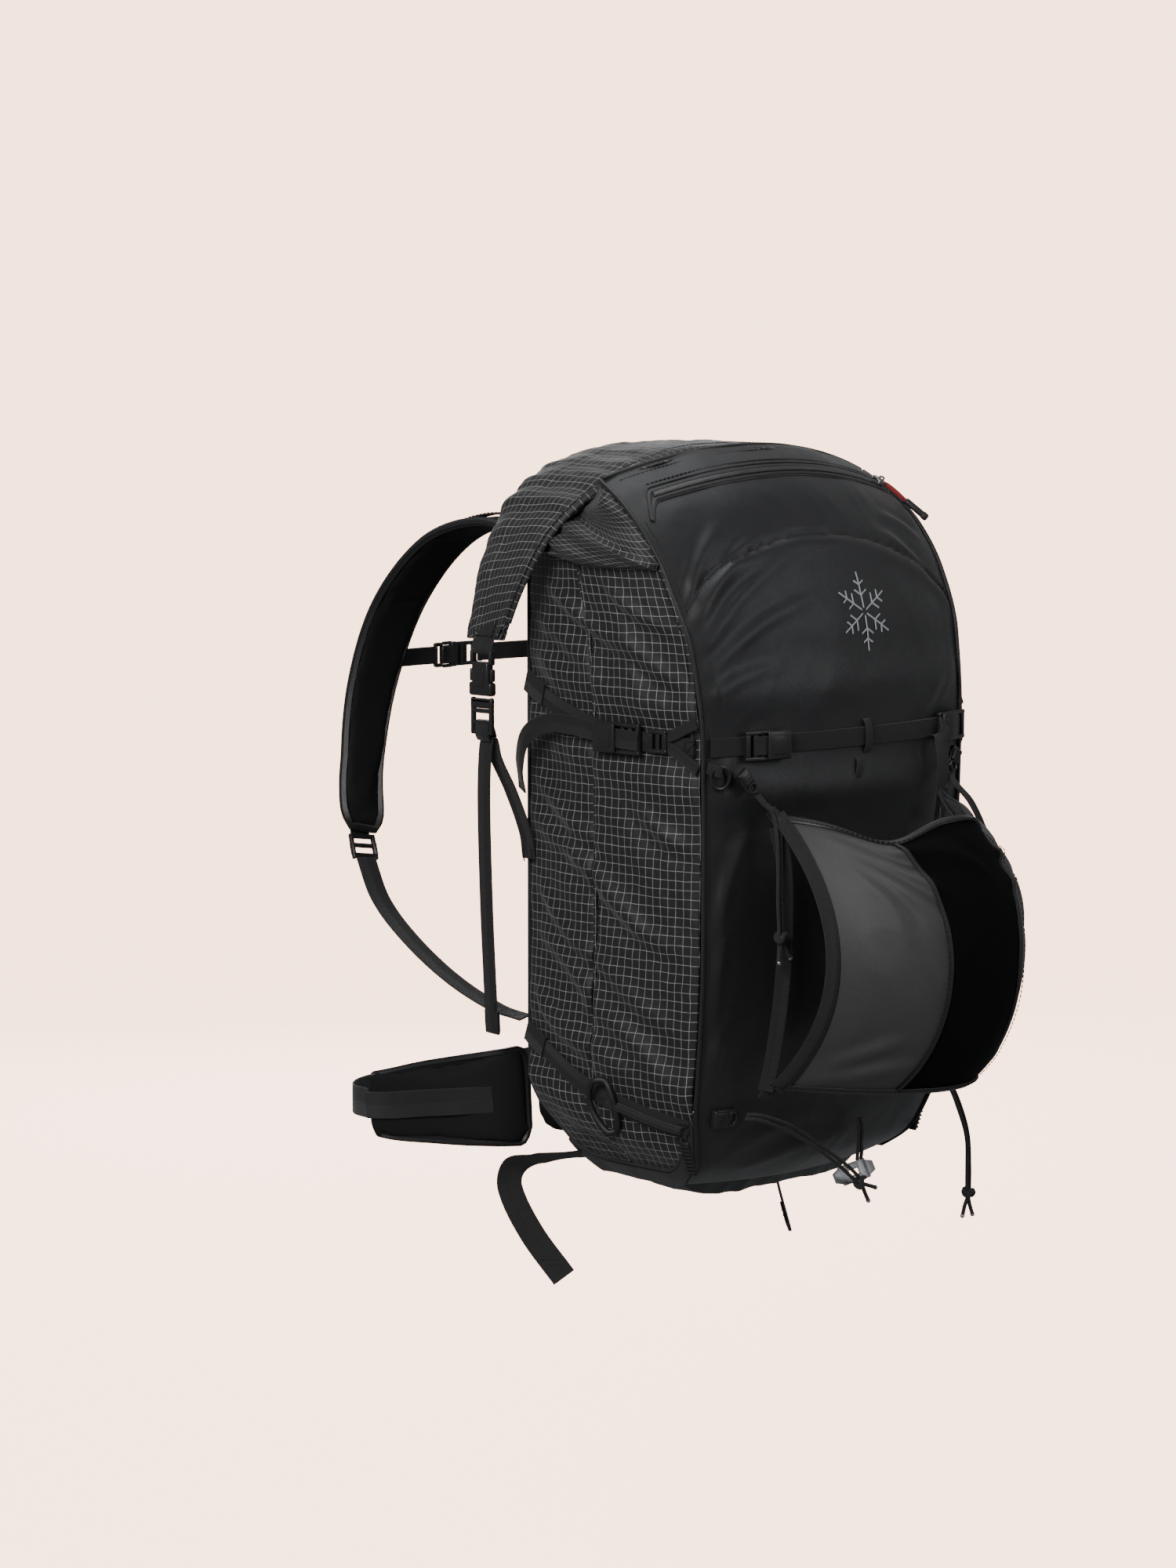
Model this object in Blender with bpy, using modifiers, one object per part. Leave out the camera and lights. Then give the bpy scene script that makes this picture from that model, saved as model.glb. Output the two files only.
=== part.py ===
"""Ski touring backpack of about 37 litres, as separate sewn panels, pads, straps and hardware.

Metres, +Z up. The origin is on the flat face of the lumbar pad that touches the wearer, +Y points
to the wearer, -Y outwards from the front panel, and left is -X.
"""
import math

import bmesh
import bpy
from mathutils import Matrix, Vector

# Stations up the bag: height, depth of the middle of the front, half width at the front seam,
# how far that seam sits back and down from the middle of the front, and depth of the back wall.
STATIONS = (
    (-0.110, 0.160, 0.095, 0.010, -0.006, 0.100),
    (-0.098, 0.187, 0.113, 0.013, -0.004, 0.085),
    (-0.070, 0.215, 0.127, 0.016, 0.000, 0.060),
    (-0.020, 0.230, 0.140, 0.018, 0.000, 0.022),
    (0.100, 0.240, 0.143, 0.018, 0.000, 0.022),
    (0.250, 0.242, 0.146, 0.018, 0.000, 0.022),
    (0.330, 0.236, 0.150, 0.020, 0.006, 0.022),
    (0.390, 0.217, 0.154, 0.022, 0.014, 0.022),
    (0.430, 0.193, 0.154, 0.022, 0.020, 0.022),
    (0.458, 0.163, 0.152, 0.020, 0.024, 0.022),
    (0.476, 0.128, 0.148, 0.016, 0.024, 0.022),
)
FABRIC = 0.0012
WEBBING = 0.0014
STRAP_WIDTH = 0.015
WIDE_STRAP = 0.020
CORD = 0.003

PANEL_BOTTOM = -0.098
PANEL_TOP = 0.474
SIDE_TOP = 0.425
SIDE_BULGE = 0.012
SEAM_INSET = 0.022
REAR_HALF = 0.135
BACK_HALF = 0.1325
BACK_BOTTOM = -0.070
BACK_TOP = 0.420
BASE_Z = -0.110
STRAP_LIFT = 0.0028
HARDWARE_LIFT = 0.0040

ZIP_T = 0.455
ZIP_REACH = 0.84
ZIP_WIDTH = 0.012
ZIP_REST = 0.80

CARRIER_HALF = 0.096
CARRIER_LOW = -0.010
CARRIER_HIGH = 0.200
CARRIER_DEPTH = 0.248
CARRIER_BULGE = 0.140
CARRIER_PIVOT = (0.0, -0.248, -0.010)

STRAP_TOP_ANCHOR = (0.055, -0.004, 0.345)
HIP_PIVOT = (0.126, -0.007, -0.045)
STERNUM_Z = 0.290
STERNUM_Y = 0.212
HIP_FRONT_Y = 0.228
HIP_FRONT_Z = -0.078

COLOURS = {
    "ripstop": ((0.035, 0.036, 0.040), 0.60, 0.0),
    "shell": ((0.022, 0.023, 0.026), 0.55, 0.0),
    "mesh": ((0.012, 0.012, 0.013), 0.80, 0.0),
    "padding": ((0.018, 0.018, 0.020), 0.85, 0.0),
    "webbing": ((0.014, 0.014, 0.015), 0.75, 0.0),
    "cord": ((0.012, 0.012, 0.012), 0.70, 0.0),
    "buckle": ((0.015, 0.015, 0.016), 0.40, 0.0),
    "frame_board": ((0.060, 0.060, 0.062), 0.50, 0.0),
    "aluminium": ((0.600, 0.610, 0.620), 0.35, 1.0),
    "zip": ((0.030, 0.030, 0.032), 0.45, 0.0),
    "pull": ((0.300, 0.012, 0.014), 0.60, 0.0),
}


# ---------------------------------------------------------------- helpers

def clear_scene():
    for ob in list(bpy.data.objects):
        bpy.data.objects.remove(ob, do_unlink=True)


def parts_collection():
    found = bpy.data.collections.get("ski_backpack")
    if found is None:
        found = bpy.data.collections.new("ski_backpack")
        bpy.context.scene.collection.children.link(found)
    return found


def material(slot):
    found = bpy.data.materials.get(slot)
    if found is not None:
        return found
    colour, roughness, metallic = COLOURS[slot]
    made = bpy.data.materials.new(slot)
    made.use_nodes = True
    shader = made.node_tree.nodes["Principled BSDF"]
    shader.inputs["Base Color"].default_value = (*colour, 1.0)
    shader.inputs["Roughness"].default_value = roughness
    shader.inputs["Metallic"].default_value = metallic
    return made


def add_object(name, slot, data, pivot=None):
    """Put the data in the scene, on the empty of its moving body where it has one."""
    ob = bpy.data.objects.new(name, data)
    parts_collection().objects.link(ob)
    data.materials.append(material(slot))
    if pivot is not None:
        ob.parent = pivot
        ob.matrix_parent_inverse = Matrix.Translation(-Vector(pivot.location))
    return ob


def pivot_empty(name, place):
    empty = bpy.data.objects.new(name, None)
    empty.location = place
    empty.empty_display_size = 0.02
    parts_collection().objects.link(empty)
    return empty


def hand_name(hand, name):
    return ("left_" if hand < 0 else "right_") + name


def mirrored(hand, place):
    """A place given for the right side, on the side of hand."""
    return Vector((place[0] * hand, place[1], place[2]))


def hermite(keys, values, x, level=False):
    """Smooth curve through uneven keys; a level one never swings past its values."""
    last = len(keys) - 1
    slopes = []
    for i in range(last + 1):
        low, high = max(i - 1, 0), min(i + 1, last)
        slope = (values[high] - values[low]) / (keys[high] - keys[low])
        if level and low < i < high:
            before = (values[i] - values[low]) / (keys[i] - keys[low])
            after = (values[high] - values[i]) / (keys[high] - keys[i])
            slope = 2 * before * after / (before + after) if before * after > 0 else 0.0
        slopes.append(slope)
    i = 0
    while i < last - 1 and x > keys[i + 1]:
        i += 1
    step = keys[i + 1] - keys[i]
    t = (x - keys[i]) / step
    return ((2 * t ** 3 - 3 * t ** 2 + 1) * values[i]
            + (t ** 3 - 2 * t ** 2 + t) * step * slopes[i]
            + (3 * t ** 2 - 2 * t ** 3) * values[i + 1]
            + (t ** 3 - t ** 2) * step * slopes[i + 1])


def smooth_route(points, count):
    """Points at even steps of a smooth curve through a route's own points."""
    points = [Vector(p) for p in points]
    keys = [0.0]
    for a, b in zip(points, points[1:]):
        keys.append(keys[-1] + (b - a).length)
    columns = [[p[axis] for p in points] for axis in range(3)]
    made = []
    for i in range(count):
        x = keys[-1] * i / (count - 1)
        made.append(Vector([hermite(keys, column, x) for column in columns]))
    return made


def tangents(points):
    last = len(points) - 1
    return [(points[min(i + 1, last)] - points[max(i - 1, 0)]).normalized() for i in range(last + 1)]


def sheet(name, slot, columns, rows, point, outward, thickness=FABRIC, pivot=None):
    """Skin over point(u, v), u and v from 0 to 1, its thickness on the inner side."""
    bm = bmesh.new()
    bmesh.ops.create_grid(bm, x_segments=columns, y_segments=rows, size=0.5)
    for vert in bm.verts:
        vert.co = point(vert.co.x + 0.5, vert.co.y + 0.5)
    bm.normal_update()
    facing = sum((face.normal * face.calc_area() for face in bm.faces), Vector())
    if facing.dot(Vector(outward)) < 0:
        bmesh.ops.reverse_faces(bm, faces=bm.faces)
    mesh = bpy.data.meshes.new(name)
    bm.to_mesh(mesh)
    bm.free()
    mesh.shade_smooth()
    ob = add_object(name, slot, mesh, pivot)
    solid = ob.modifiers.new("thickness", "SOLIDIFY")
    solid.thickness = thickness
    solid.offset = -1.0
    return ob


def ribbon(name, slot, route, across, width, thickness=WEBBING, count=None, pivot=None, columns=1):
    """Flat strap along a route; across is the rough direction of its width."""
    count = count or 3 * len(route)
    centres = smooth_route(route, count)
    ways = tangents(centres)

    def point(u, v):
        i = round(u * (count - 1))
        side = Vector(across) - Vector(across).dot(ways[i]) * ways[i]
        wide = width(u) if callable(width) else width
        return centres[i] + side.normalized() * wide * (v - 0.5)

    first = Vector(across).cross(ways[0])
    ob = sheet(name, slot, count - 1, columns, point, first, thickness, pivot)
    ob.modifiers["thickness"].offset = 0.0
    return ob


def tube(name, slot, route, diameter, count, pivot=None):
    """Cord along a smooth curve through its route."""
    curve = bpy.data.curves.new(name, "CURVE")
    curve.dimensions = "3D"
    curve.bevel_depth = diameter / 2
    curve.bevel_resolution = 2
    curve.use_fill_caps = True
    spline = curve.splines.new("POLY")
    spline.points.add(count - 1)
    for knot, place in zip(spline.points, smooth_route(route, count)):
        knot.co = (*place, 1.0)
    return add_object(name, slot, curve, pivot)


def frame_at(place, along, normal):
    """Matrix with X along, Z on the normal, at the place."""
    x = Vector(along).normalized()
    z = Vector(normal)
    z = (z - z.dot(x) * x).normalized()
    y = z.cross(x)
    matrix = Matrix((x, y, z)).transposed().to_4x4()
    matrix.translation = Vector(place)
    return matrix


def block(name, slot, size, matrix, bevel=0.0015, pivot=None):
    bm = bmesh.new()
    bmesh.ops.create_cube(bm, size=1.0)
    bmesh.ops.scale(bm, vec=size, verts=bm.verts)
    mesh = bpy.data.meshes.new(name)
    bm.to_mesh(mesh)
    bm.free()
    ob = add_object(name, slot, mesh, pivot)
    ob.matrix_basis = matrix
    edge = ob.modifiers.new("edges", "BEVEL")
    edge.width = bevel
    edge.segments = 1
    return ob


def rounded_outline(width, height, radius, centre=(0.0, 0.0), steps=3):
    corners = ((1, 1), (-1, 1), (-1, -1), (1, -1))
    made = []
    for quarter, (sx, sy) in enumerate(corners):
        cx = centre[0] + sx * (width / 2 - radius)
        cy = centre[1] + sy * (height / 2 - radius)
        for step in range(steps + 1):
            angle = math.radians(90) * (quarter + step / steps)
            made.append((cx + radius * math.cos(angle), cy + radius * math.sin(angle)))
    return made


def plate(name, slot, outlines, thickness, matrix, pivot=None):
    """Flat plate; the first outline is its edge and the others are holes."""
    curve = bpy.data.curves.new(name, "CURVE")
    curve.dimensions = "2D"
    curve.fill_mode = "BOTH"
    curve.extrude = thickness / 2
    for outline in outlines:
        spline = curve.splines.new("POLY")
        spline.points.add(len(outline) - 1)
        for knot, (x, y) in zip(spline.points, outline):
            knot.co = (x, y, 0.0, 1.0)
        spline.use_cyclic_u = True
    ob = add_object(name, slot, curve, pivot)
    ob.matrix_basis = matrix
    return ob


def loft(name, slot, sections, pivot=None):
    """Closed solid through rings of equal count."""
    bm = bmesh.new()
    rings = [[bm.verts.new(place) for place in ring] for ring in sections]
    count = len(rings[0])
    for low, high in zip(rings, rings[1:]):
        for i in range(count):
            bm.faces.new((low[i], low[(i + 1) % count], high[(i + 1) % count], high[i]))
    bm.faces.new(list(reversed(rings[0])))
    bm.faces.new(rings[-1])
    bmesh.ops.recalc_face_normals(bm, faces=bm.faces)
    mesh = bpy.data.meshes.new(name)
    bm.to_mesh(mesh)
    bm.free()
    mesh.shade_smooth()
    return add_object(name, slot, mesh, pivot)


# ---------------------------------------------------------------- the bag's surfaces

def station(t):
    keys = [row[0] for row in STATIONS]
    return [hermite(keys, [row[i] for row in STATIONS], t, level=True) for i in range(1, 6)]


def front_flat(s, t):
    depth, half, back, drop, _ = station(t)
    return Vector((s * half, -(depth - back * s * s), t - drop * s * s))


def side_flat(hand, v, t):
    depth, half, back, drop, rear = station(t)
    fade = min(1.0, max(0.0, (t - PANEL_BOTTOM) / 0.08))
    wide = half * (1 - v) + min(half, REAR_HALF) * v + SIDE_BULGE * fade * math.sin(math.pi * v)
    return Vector((hand * wide, -((depth - back) * (1 - v) + rear * v), t - drop))


def surface_frame(flat, a, b, outward, lift):
    """Matrix on a surface: X along growing a, Z out along the normal."""
    step = 0.002
    along = flat(a + step, b) - flat(a - step, b)
    up = flat(a, b + step) - flat(a, b - step)
    normal = along.cross(up).normalized()
    if normal.dot(Vector(outward)) < 0:
        normal = -normal
    return frame_at(flat(a, b) + normal * lift, along, normal)


def front_frame(s, t, lift=0.0):
    return surface_frame(front_flat, s, t, (0, -1, 0), lift)


def side_frame(hand, v, t, lift=0.0):
    return surface_frame(lambda a, b: side_flat(hand, a, b), v, t, (hand, 0, 0), lift)


# ---------------------------------------------------------------- bag panels

def make_front_panel():
    sheet("front_panel", "shell", 10, 18,
          lambda u, v: front_flat(2 * u - 1, PANEL_BOTTOM + (PANEL_TOP - PANEL_BOTTOM) * v),
          (0, -1, 0))


def make_side_panel(hand):
    def point(u, v):
        across = SEAM_INSET + (1 - SEAM_INSET) * u
        return side_flat(hand, across, PANEL_BOTTOM + (SIDE_TOP - PANEL_BOTTOM) * v)

    sheet(hand_name(hand, "side_panel"), "ripstop", 6, 15, point, (hand, 0, 0))


def make_back_wall():
    def point(u, v):
        t = BACK_BOTTOM + (BACK_TOP - BACK_BOTTOM) * v
        half = min(station(t)[1] - 0.003, BACK_HALF)
        return Vector(((2 * u - 1) * half, -station(t)[4], t))

    sheet("back_wall", "padding", 4, 14, point, (0, 1, 0))


def make_base_panel():
    inset = 0.0035
    front_depth, front_half, front_back, _, rear_low = station(PANEL_BOTTOM)
    rear_half, rear_high = station(BACK_BOTTOM)[1], station(BACK_BOTTOM)[4]
    rim_z = PANEL_BOTTOM + 0.008
    profile = ((0.0, front_depth - inset, rim_z), (0.18, 0.166, BASE_Z), (0.40, 0.146, BASE_Z),
               (0.68, 0.112, BASE_Z), (0.84, rear_low + 0.006, -0.100),
               (1.0, rear_high + inset, BACK_BOTTOM - 0.002))

    def point(u, v):
        side = 2 * u - 1
        keys = [row[0] for row in profile]
        i = max(0, min(len(keys) - 2, next((k for k in range(len(keys)) if keys[k] > v), len(keys)) - 1))
        share = (v - keys[i]) / (keys[i + 1] - keys[i])
        depth = profile[i][1] * (1 - share) + profile[i + 1][1] * share
        z = profile[i][2] * (1 - share) + profile[i + 1][2] * share
        half = front_half - inset if v < 0.84 else (
            front_half + (rear_half - front_half) * (v - 0.84) / 0.16 - inset)
        edge = max(0.0, (abs(side) - 0.6) / 0.4) ** 2
        rim = rim_z if v < 0.84 else rim_z + (BACK_BOTTOM - rim_z) * (v - 0.84) / 0.16
        depth -= front_back * side * side * max(0.0, 1 - v / 0.5)
        return Vector((side * half, -depth, z + (rim - z) * edge))

    sheet("base_panel", "shell", 10, 12, point, (0, 0, -1))


def make_frame():
    upright = Matrix.Translation((0.0, -0.0250, 0.206))
    block("frame_sheet", "frame_board", (0.230, 0.0020, 0.400), upright, bevel=0.0006)
    stay = Matrix.Translation((0.0, -0.0282, 0.206))
    block("frame_stay", "aluminium", (0.020, 0.0030, 0.380), stay, bevel=0.0006)


def make_back_padding():
    block("back_pad", "padding", (0.230, 0.012, 0.352), Matrix.Translation((0.0, -0.0140, 0.232)),
          bevel=0.004)
    block("lumbar_pad", "padding", (0.236, 0.0185, 0.128), Matrix.Translation((0.0, -0.00925, -0.020)),
          bevel=0.005)


def make_haul_loop():
    pivot = pivot_empty("haul_loop_axis", (0.0, 0.0025, 0.398))
    route = [(-0.018, 0.0025, 0.396), (-0.021, 0.0025, 0.415), (-0.014, 0.0025, 0.436),
             (0.0, 0.0025, 0.443), (0.014, 0.0025, 0.436), (0.021, 0.0025, 0.415),
             (0.018, 0.0025, 0.396)]
    ribbon("haul_loop", "webbing", route, (0, 1, 0), 0.015, count=19, pivot=pivot)


# ---------------------------------------------------------------- front zip

def zip_circle():
    """Centre, radius and axis of the arc that the zip follows."""
    _, half, back, drop, _ = station(ZIP_T)
    sag = math.hypot(back, drop)
    radius = half * half / (2 * sag)
    inward = Vector((0.0, back, -drop)) / sag
    return front_flat(0.0, ZIP_T) + inward * radius, radius, Vector((1, 0, 0)).cross(inward)


def make_zip():
    route = [front_frame(ZIP_REACH * k / 6, ZIP_T, 0.0012).translation for k in range(-6, 7)]
    normal = front_frame(0.0, ZIP_T).to_3x3().col[2]
    ribbon("zip_tape", "zip", route, normal.cross(Vector((1, 0, 0))), ZIP_WIDTH, thickness=0.0010, count=25)
    centre, _, _ = zip_circle()
    travel = pivot_empty("zip_travel_axis", centre)
    seat = front_frame(ZIP_REST, ZIP_T, 0.0058)
    block("zip_slider", "aluminium", (0.011, 0.008, 0.0042), seat, bevel=0.0008, pivot=travel)
    right, up, out = seat.to_3x3().col
    hang = seat.translation + right * 0.0070
    swing = pivot_empty("zip_pull_axis", hang)
    down = (right * 0.5 - up * 0.85).normalized()
    flat = frame_at(hang + down * 0.0240, down, out)
    plate("zip_pull", "pull", [rounded_outline(0.044, 0.009, 0.003)], 0.0030, flat, pivot=swing)


# ---------------------------------------------------------------- compression straps

def side_strap_route(hand, stops):
    return [side_frame(hand, v, t, STRAP_LIFT).translation for v, t in stops]


def make_side_straps(hand):
    upper = side_strap_route(hand, ((0.985, 0.292), (0.80, 0.277), (0.60, 0.265), (0.40, 0.257),
                                    (0.20, 0.253), (0.03, 0.252)))
    ribbon(hand_name(hand, "upper_side_strap"), "webbing", upper, (0, 0, 1), STRAP_WIDTH, count=14)
    lower = side_strap_route(hand, ((0.985, 0.012), (0.80, -0.004), (0.60, -0.019), (0.40, -0.030),
                                    (0.20, -0.038), (0.03, -0.043)))
    ribbon(hand_name(hand, "lower_side_strap"), "webbing", lower, (0, 0, 1), STRAP_WIDTH, count=14)

    seat = side_frame(hand, 0.36, 0.2555, HARDWARE_LIFT + 0.0025)
    pivot = pivot_empty(hand_name(hand, "side_buckle_axis"), seat.translation)
    outlines = [rounded_outline(0.036, 0.023, 0.003),
                rounded_outline(0.004, 0.0165, 0.001, (-0.011, 0.0)),
                rounded_outline(0.004, 0.0165, 0.001, (-0.003, 0.0))]
    plate(hand_name(hand, "side_buckle"), "buckle", outlines, 0.0045, seat, pivot=pivot)


def make_front_strap():
    route = [front_frame(0.93 * k / 6, 0.252, STRAP_LIFT).translation for k in range(-6, 7)]
    ribbon("front_strap", "webbing", route, (0, 0, 1), STRAP_WIDTH, count=21)


def make_front_buckle(hand):
    seat = front_frame(0.66 * hand if hand < 0 else 0.86, 0.252, HARDWARE_LIFT + 0.0025)
    pivot = pivot_empty(hand_name(hand, "front_buckle_axis"), seat.translation)
    outlines = [rounded_outline(0.032, 0.022, 0.003),
                rounded_outline(0.004, 0.0160, 0.001, (-0.007, 0.0)),
                rounded_outline(0.004, 0.0160, 0.001, (0.004, 0.0))]
    plate(hand_name(hand, "front_buckle"), "buckle", outlines, 0.0045, seat, pivot=pivot)


# ---------------------------------------------------------------- rolled top

ROLL_STATIONS = (
    # path share, x, depth of the middle, z, width in depth, thickness
    (0.00, 0.000, 0.066, 0.466, 0.116, 0.022),
    (0.22, 0.060, 0.066, 0.463, 0.114, 0.022),
    (0.42, 0.110, 0.064, 0.451, 0.108, 0.020),
    (0.58, 0.145, 0.056, 0.431, 0.090, 0.018),
    (0.72, 0.166, 0.046, 0.403, 0.070, 0.014),
    (0.86, 0.178, 0.036, 0.365, 0.054, 0.010),
    (1.00, 0.184, 0.026, 0.325, 0.042, 0.006),
)


def roll_section(share, corners=10):
    """Flattened ring of the rolled collar, share from -1 at the left end to 1."""
    keys = [row[0] for row in ROLL_STATIONS]

    def value(column, at):
        got = hermite(keys, [row[column] for row in ROLL_STATIONS], min(abs(at), 1.0))
        return math.copysign(got, at) if column == 1 else got

    step = 0.01
    middle = Vector((value(1, share), -value(2, share), value(3, share)))
    way = Vector((value(1, share + step) - value(1, share - step), 0.0,
                  value(3, share + step) - value(3, share - step))).normalized()
    if abs(share) < step:
        way = Vector((1, 0, 0))
    if abs(share) > 1 - step:
        way = Vector((value(1, share) - value(1, share * 0.97), 0.0,
                      value(3, share) - value(3, share * 0.97))).normalized() * math.copysign(1, share)
    up = Vector((-way.z, 0.0, way.x))
    ring = []
    for k in range(corners):
        angle = 2 * math.pi * (k + 0.5) / corners
        flat = math.copysign(abs(math.cos(angle)) ** 0.7, math.cos(angle))
        tall = math.copysign(abs(math.sin(angle)) ** 0.7, math.sin(angle))
        ring.append(middle + Vector((0, 1, 0)) * flat * value(4, share) / 2 + up * tall * value(5, share) / 2)
    return ring


def make_roll_top():
    pivot = pivot_empty("roll_top_axis", (0.0, -ROLL_STATIONS[0][2], ROLL_STATIONS[0][3]))
    loft("roll_top", "ripstop", [roll_section(k / 9) for k in range(-9, 10)], pivot)
    for hand in (-1, 1):
        female = Matrix.Translation(mirrored(hand, (0.187, -0.024, 0.299)))
        block(hand_name(hand, "roll_buckle_female"), "buckle", (0.009, 0.026, 0.036), female,
              bevel=0.002, pivot=pivot)


def make_roll_strap(hand):
    seat = mirrored(hand, (0.187, -0.024, 0.2655))
    pivot = pivot_empty(hand_name(hand, "roll_buckle_axis"), seat)
    turned = Matrix.Translation(seat) @ Matrix.Rotation(math.radians(90), 4, "Y")
    outlines = [rounded_outline(0.030, 0.024, 0.003), rounded_outline(0.004, 0.0165, 0.001, (0.009, 0.0)),
                rounded_outline(0.004, 0.0165, 0.001, (0.001, 0.0))]
    plate(hand_name(hand, "roll_buckle_male"), "buckle", outlines, 0.0055, turned, pivot=pivot)
    route = [(0.1425, -0.0290, 0.150), (0.1455, -0.0285, 0.170), (0.160, -0.0270, 0.205),
             (0.1740, -0.0250, 0.232), (0.1780, -0.0245, 0.247), (0.1810, -0.0240, 0.2487),
             (0.1835, -0.0235, 0.240), (0.184, -0.0220, 0.200), (0.179, -0.0190, 0.120),
             (0.174, -0.0170, 0.060), (0.170, -0.0160, 0.012)]
    ribbon(hand_name(hand, "roll_strap"), "webbing", [mirrored(hand, p) for p in route], (0, 1, 0),
           STRAP_WIDTH, count=30)


# ---------------------------------------------------------------- helmet carrier

def carrier_point(x, z):
    """Panel stretched over a helmet: a dome whose corners are drawn in to the bag."""
    across = (x / CARRIER_HALF) ** 2
    along = ((2 * z - CARRIER_LOW - CARRIER_HIGH) / (CARRIER_HIGH - CARRIER_LOW)) ** 2
    open_corner = math.sqrt((1 - 0.64) * (1 - 0.49))
    dome = math.sqrt((1 - 0.64 * across) * (1 - 0.49 * along)) - open_corner * across * along
    return Vector((x, -(CARRIER_DEPTH + CARRIER_BULGE * dome), z))


def make_carrier():
    pivot = pivot_empty("helmet_carrier_axis", CARRIER_PIVOT)
    sheet("carrier_panel", "mesh", 10, 10,
          lambda u, v: carrier_point((2 * u - 1) * CARRIER_HALF,
                                     CARRIER_LOW + (CARRIER_HIGH - CARRIER_LOW) * v),
          (0, -1, 0), pivot=pivot)
    for hand in (-1, 1):
        hook = frame_at(mirrored(hand, (0.118, -0.2440, 0.226)), mirrored(hand, (-0.55, -0.15, -0.80)),
                        (0, -1, 0))
        block(hand_name(hand, "upper_cord_hook"), "buckle", (0.020, 0.011, 0.006), hook,
              bevel=0.0015, pivot=pivot)
    left = [(-0.1115, -0.2465, 0.2155), (-0.106, -0.2500, 0.208), (-0.1005, -0.2530, 0.202),
            (-0.0995, -0.2570, 0.188), (-0.1010, -0.2600, 0.165), (-0.1030, -0.2620, 0.138),
            (-0.1020, -0.2625, 0.110)]
    tube("left_upper_cord", "cord", left, CORD, 16, pivot)
    right = [(0.1115, -0.2465, 0.2155), (0.112, -0.2540, 0.207), (0.118, -0.2640, 0.194),
             (0.126, -0.2720, 0.170), (0.135, -0.2760, 0.145), (0.139, -0.2770, 0.120)]
    tube("right_upper_cord", "cord", right, CORD, 14, pivot)


def make_lower_cords():
    for hand in (-1, 1):
        seat = front_frame(0.84 * hand, -0.034, 0.0045)
        block(hand_name(hand, "lower_cord_buckle"), "buckle", (0.022, 0.015, 0.007), seat, bevel=0.0015)
    left = [(-0.1030, -0.2290, -0.0360), (-0.095, -0.2350, -0.0370), (-0.070, -0.2420, -0.0480),
            (-0.040, -0.2440, -0.0650), (-0.010, -0.2430, -0.0850), (0.012, -0.2410, -0.1010)]
    tube("left_lower_cord", "cord", left, CORD, 16)
    right = [(0.1300, -0.2220, -0.0380), (0.135, -0.2290, -0.0400), (0.139, -0.2360, -0.0550),
             (0.143, -0.2420, -0.0800), (0.142, -0.2450, -0.1050), (0.141, -0.2460, -0.1250)]
    tube("right_lower_cord", "cord", right, CORD, 14)


def make_axe_toggle():
    top = Vector((0.018, -0.2345, -0.050))
    pivot = pivot_empty("axe_toggle_axis", top)
    route = [top, (0.018, -0.2360, -0.060), (0.019, -0.2350, -0.073), (0.020, -0.2330, -0.0850)]
    tube("axe_toggle_cord", "cord", route, CORD, 6, pivot)
    flat = frame_at((0.021, -0.2290, -0.0955), (1, 0, 0.1), (0, -0.9, 0.43))
    outline = [(-0.023, -0.004), (-0.012, -0.008), (0.012, -0.008), (0.023, -0.004),
               (0.023, 0.004), (0.012, 0.008), (-0.012, 0.008), (-0.023, 0.004)]
    hole = rounded_outline(0.010, 0.004, 0.0015)
    plate("axe_toggle", "aluminium", [outline, hole], 0.0025, flat, pivot)


# ---------------------------------------------------------------- harness

PAD_ROUTE = ((0.055, 0.0010, 0.330), (0.058, 0.0120, 0.372), (0.062, 0.040, 0.400),
             (0.068, 0.085, 0.410), (0.078, 0.138, 0.392), (0.091, 0.182, 0.340),
             (0.106, 0.2000, 0.272), (0.122, 0.1960, 0.200), (0.133, 0.182, 0.155))
WEB_ROUTE = ((0.1360, 0.1760, 0.1340), (0.146, 0.145, 0.100), (0.153, 0.100, 0.072),
             (0.152, 0.050, 0.045), (0.143, 0.008, 0.026), (0.1345, -0.0160, 0.020))


def make_shoulder_strap(hand):
    pivot = pivot_empty(hand_name(hand, "shoulder_strap_axis"), mirrored(hand, STRAP_TOP_ANCHOR))
    pad = [mirrored(hand, p) for p in PAD_ROUTE]
    ribbon(hand_name(hand, "shoulder_pad"), "padding", pad, (1, 0, 0),
           lambda u: 0.046 + 0.016 * math.sin(math.pi * min(1.0, 1.15 * u)), 0.0095, 24, pivot)
    lock = frame_at(mirrored(hand, (0.1345, 0.1790, 0.1445)), mirrored(hand, (0.15, -0.42, -0.90)),
                    (0, 1, -0.45))
    outlines = [rounded_outline(0.020, 0.026, 0.002), rounded_outline(0.003, 0.018, 0.001, (0.005, 0.0)),
                rounded_outline(0.003, 0.018, 0.001, (-0.003, 0.0))]
    lock.translation += lock.to_3x3().col[2] * 0.0085
    plate(hand_name(hand, "ladder_lock"), "buckle", outlines, 0.0040, lock, pivot)
    web = [mirrored(hand, p) for p in WEB_ROUTE]
    ribbon(hand_name(hand, "shoulder_webbing"), "webbing", web, (1, 0, 0), WIDE_STRAP, count=20, pivot=pivot)


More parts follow.
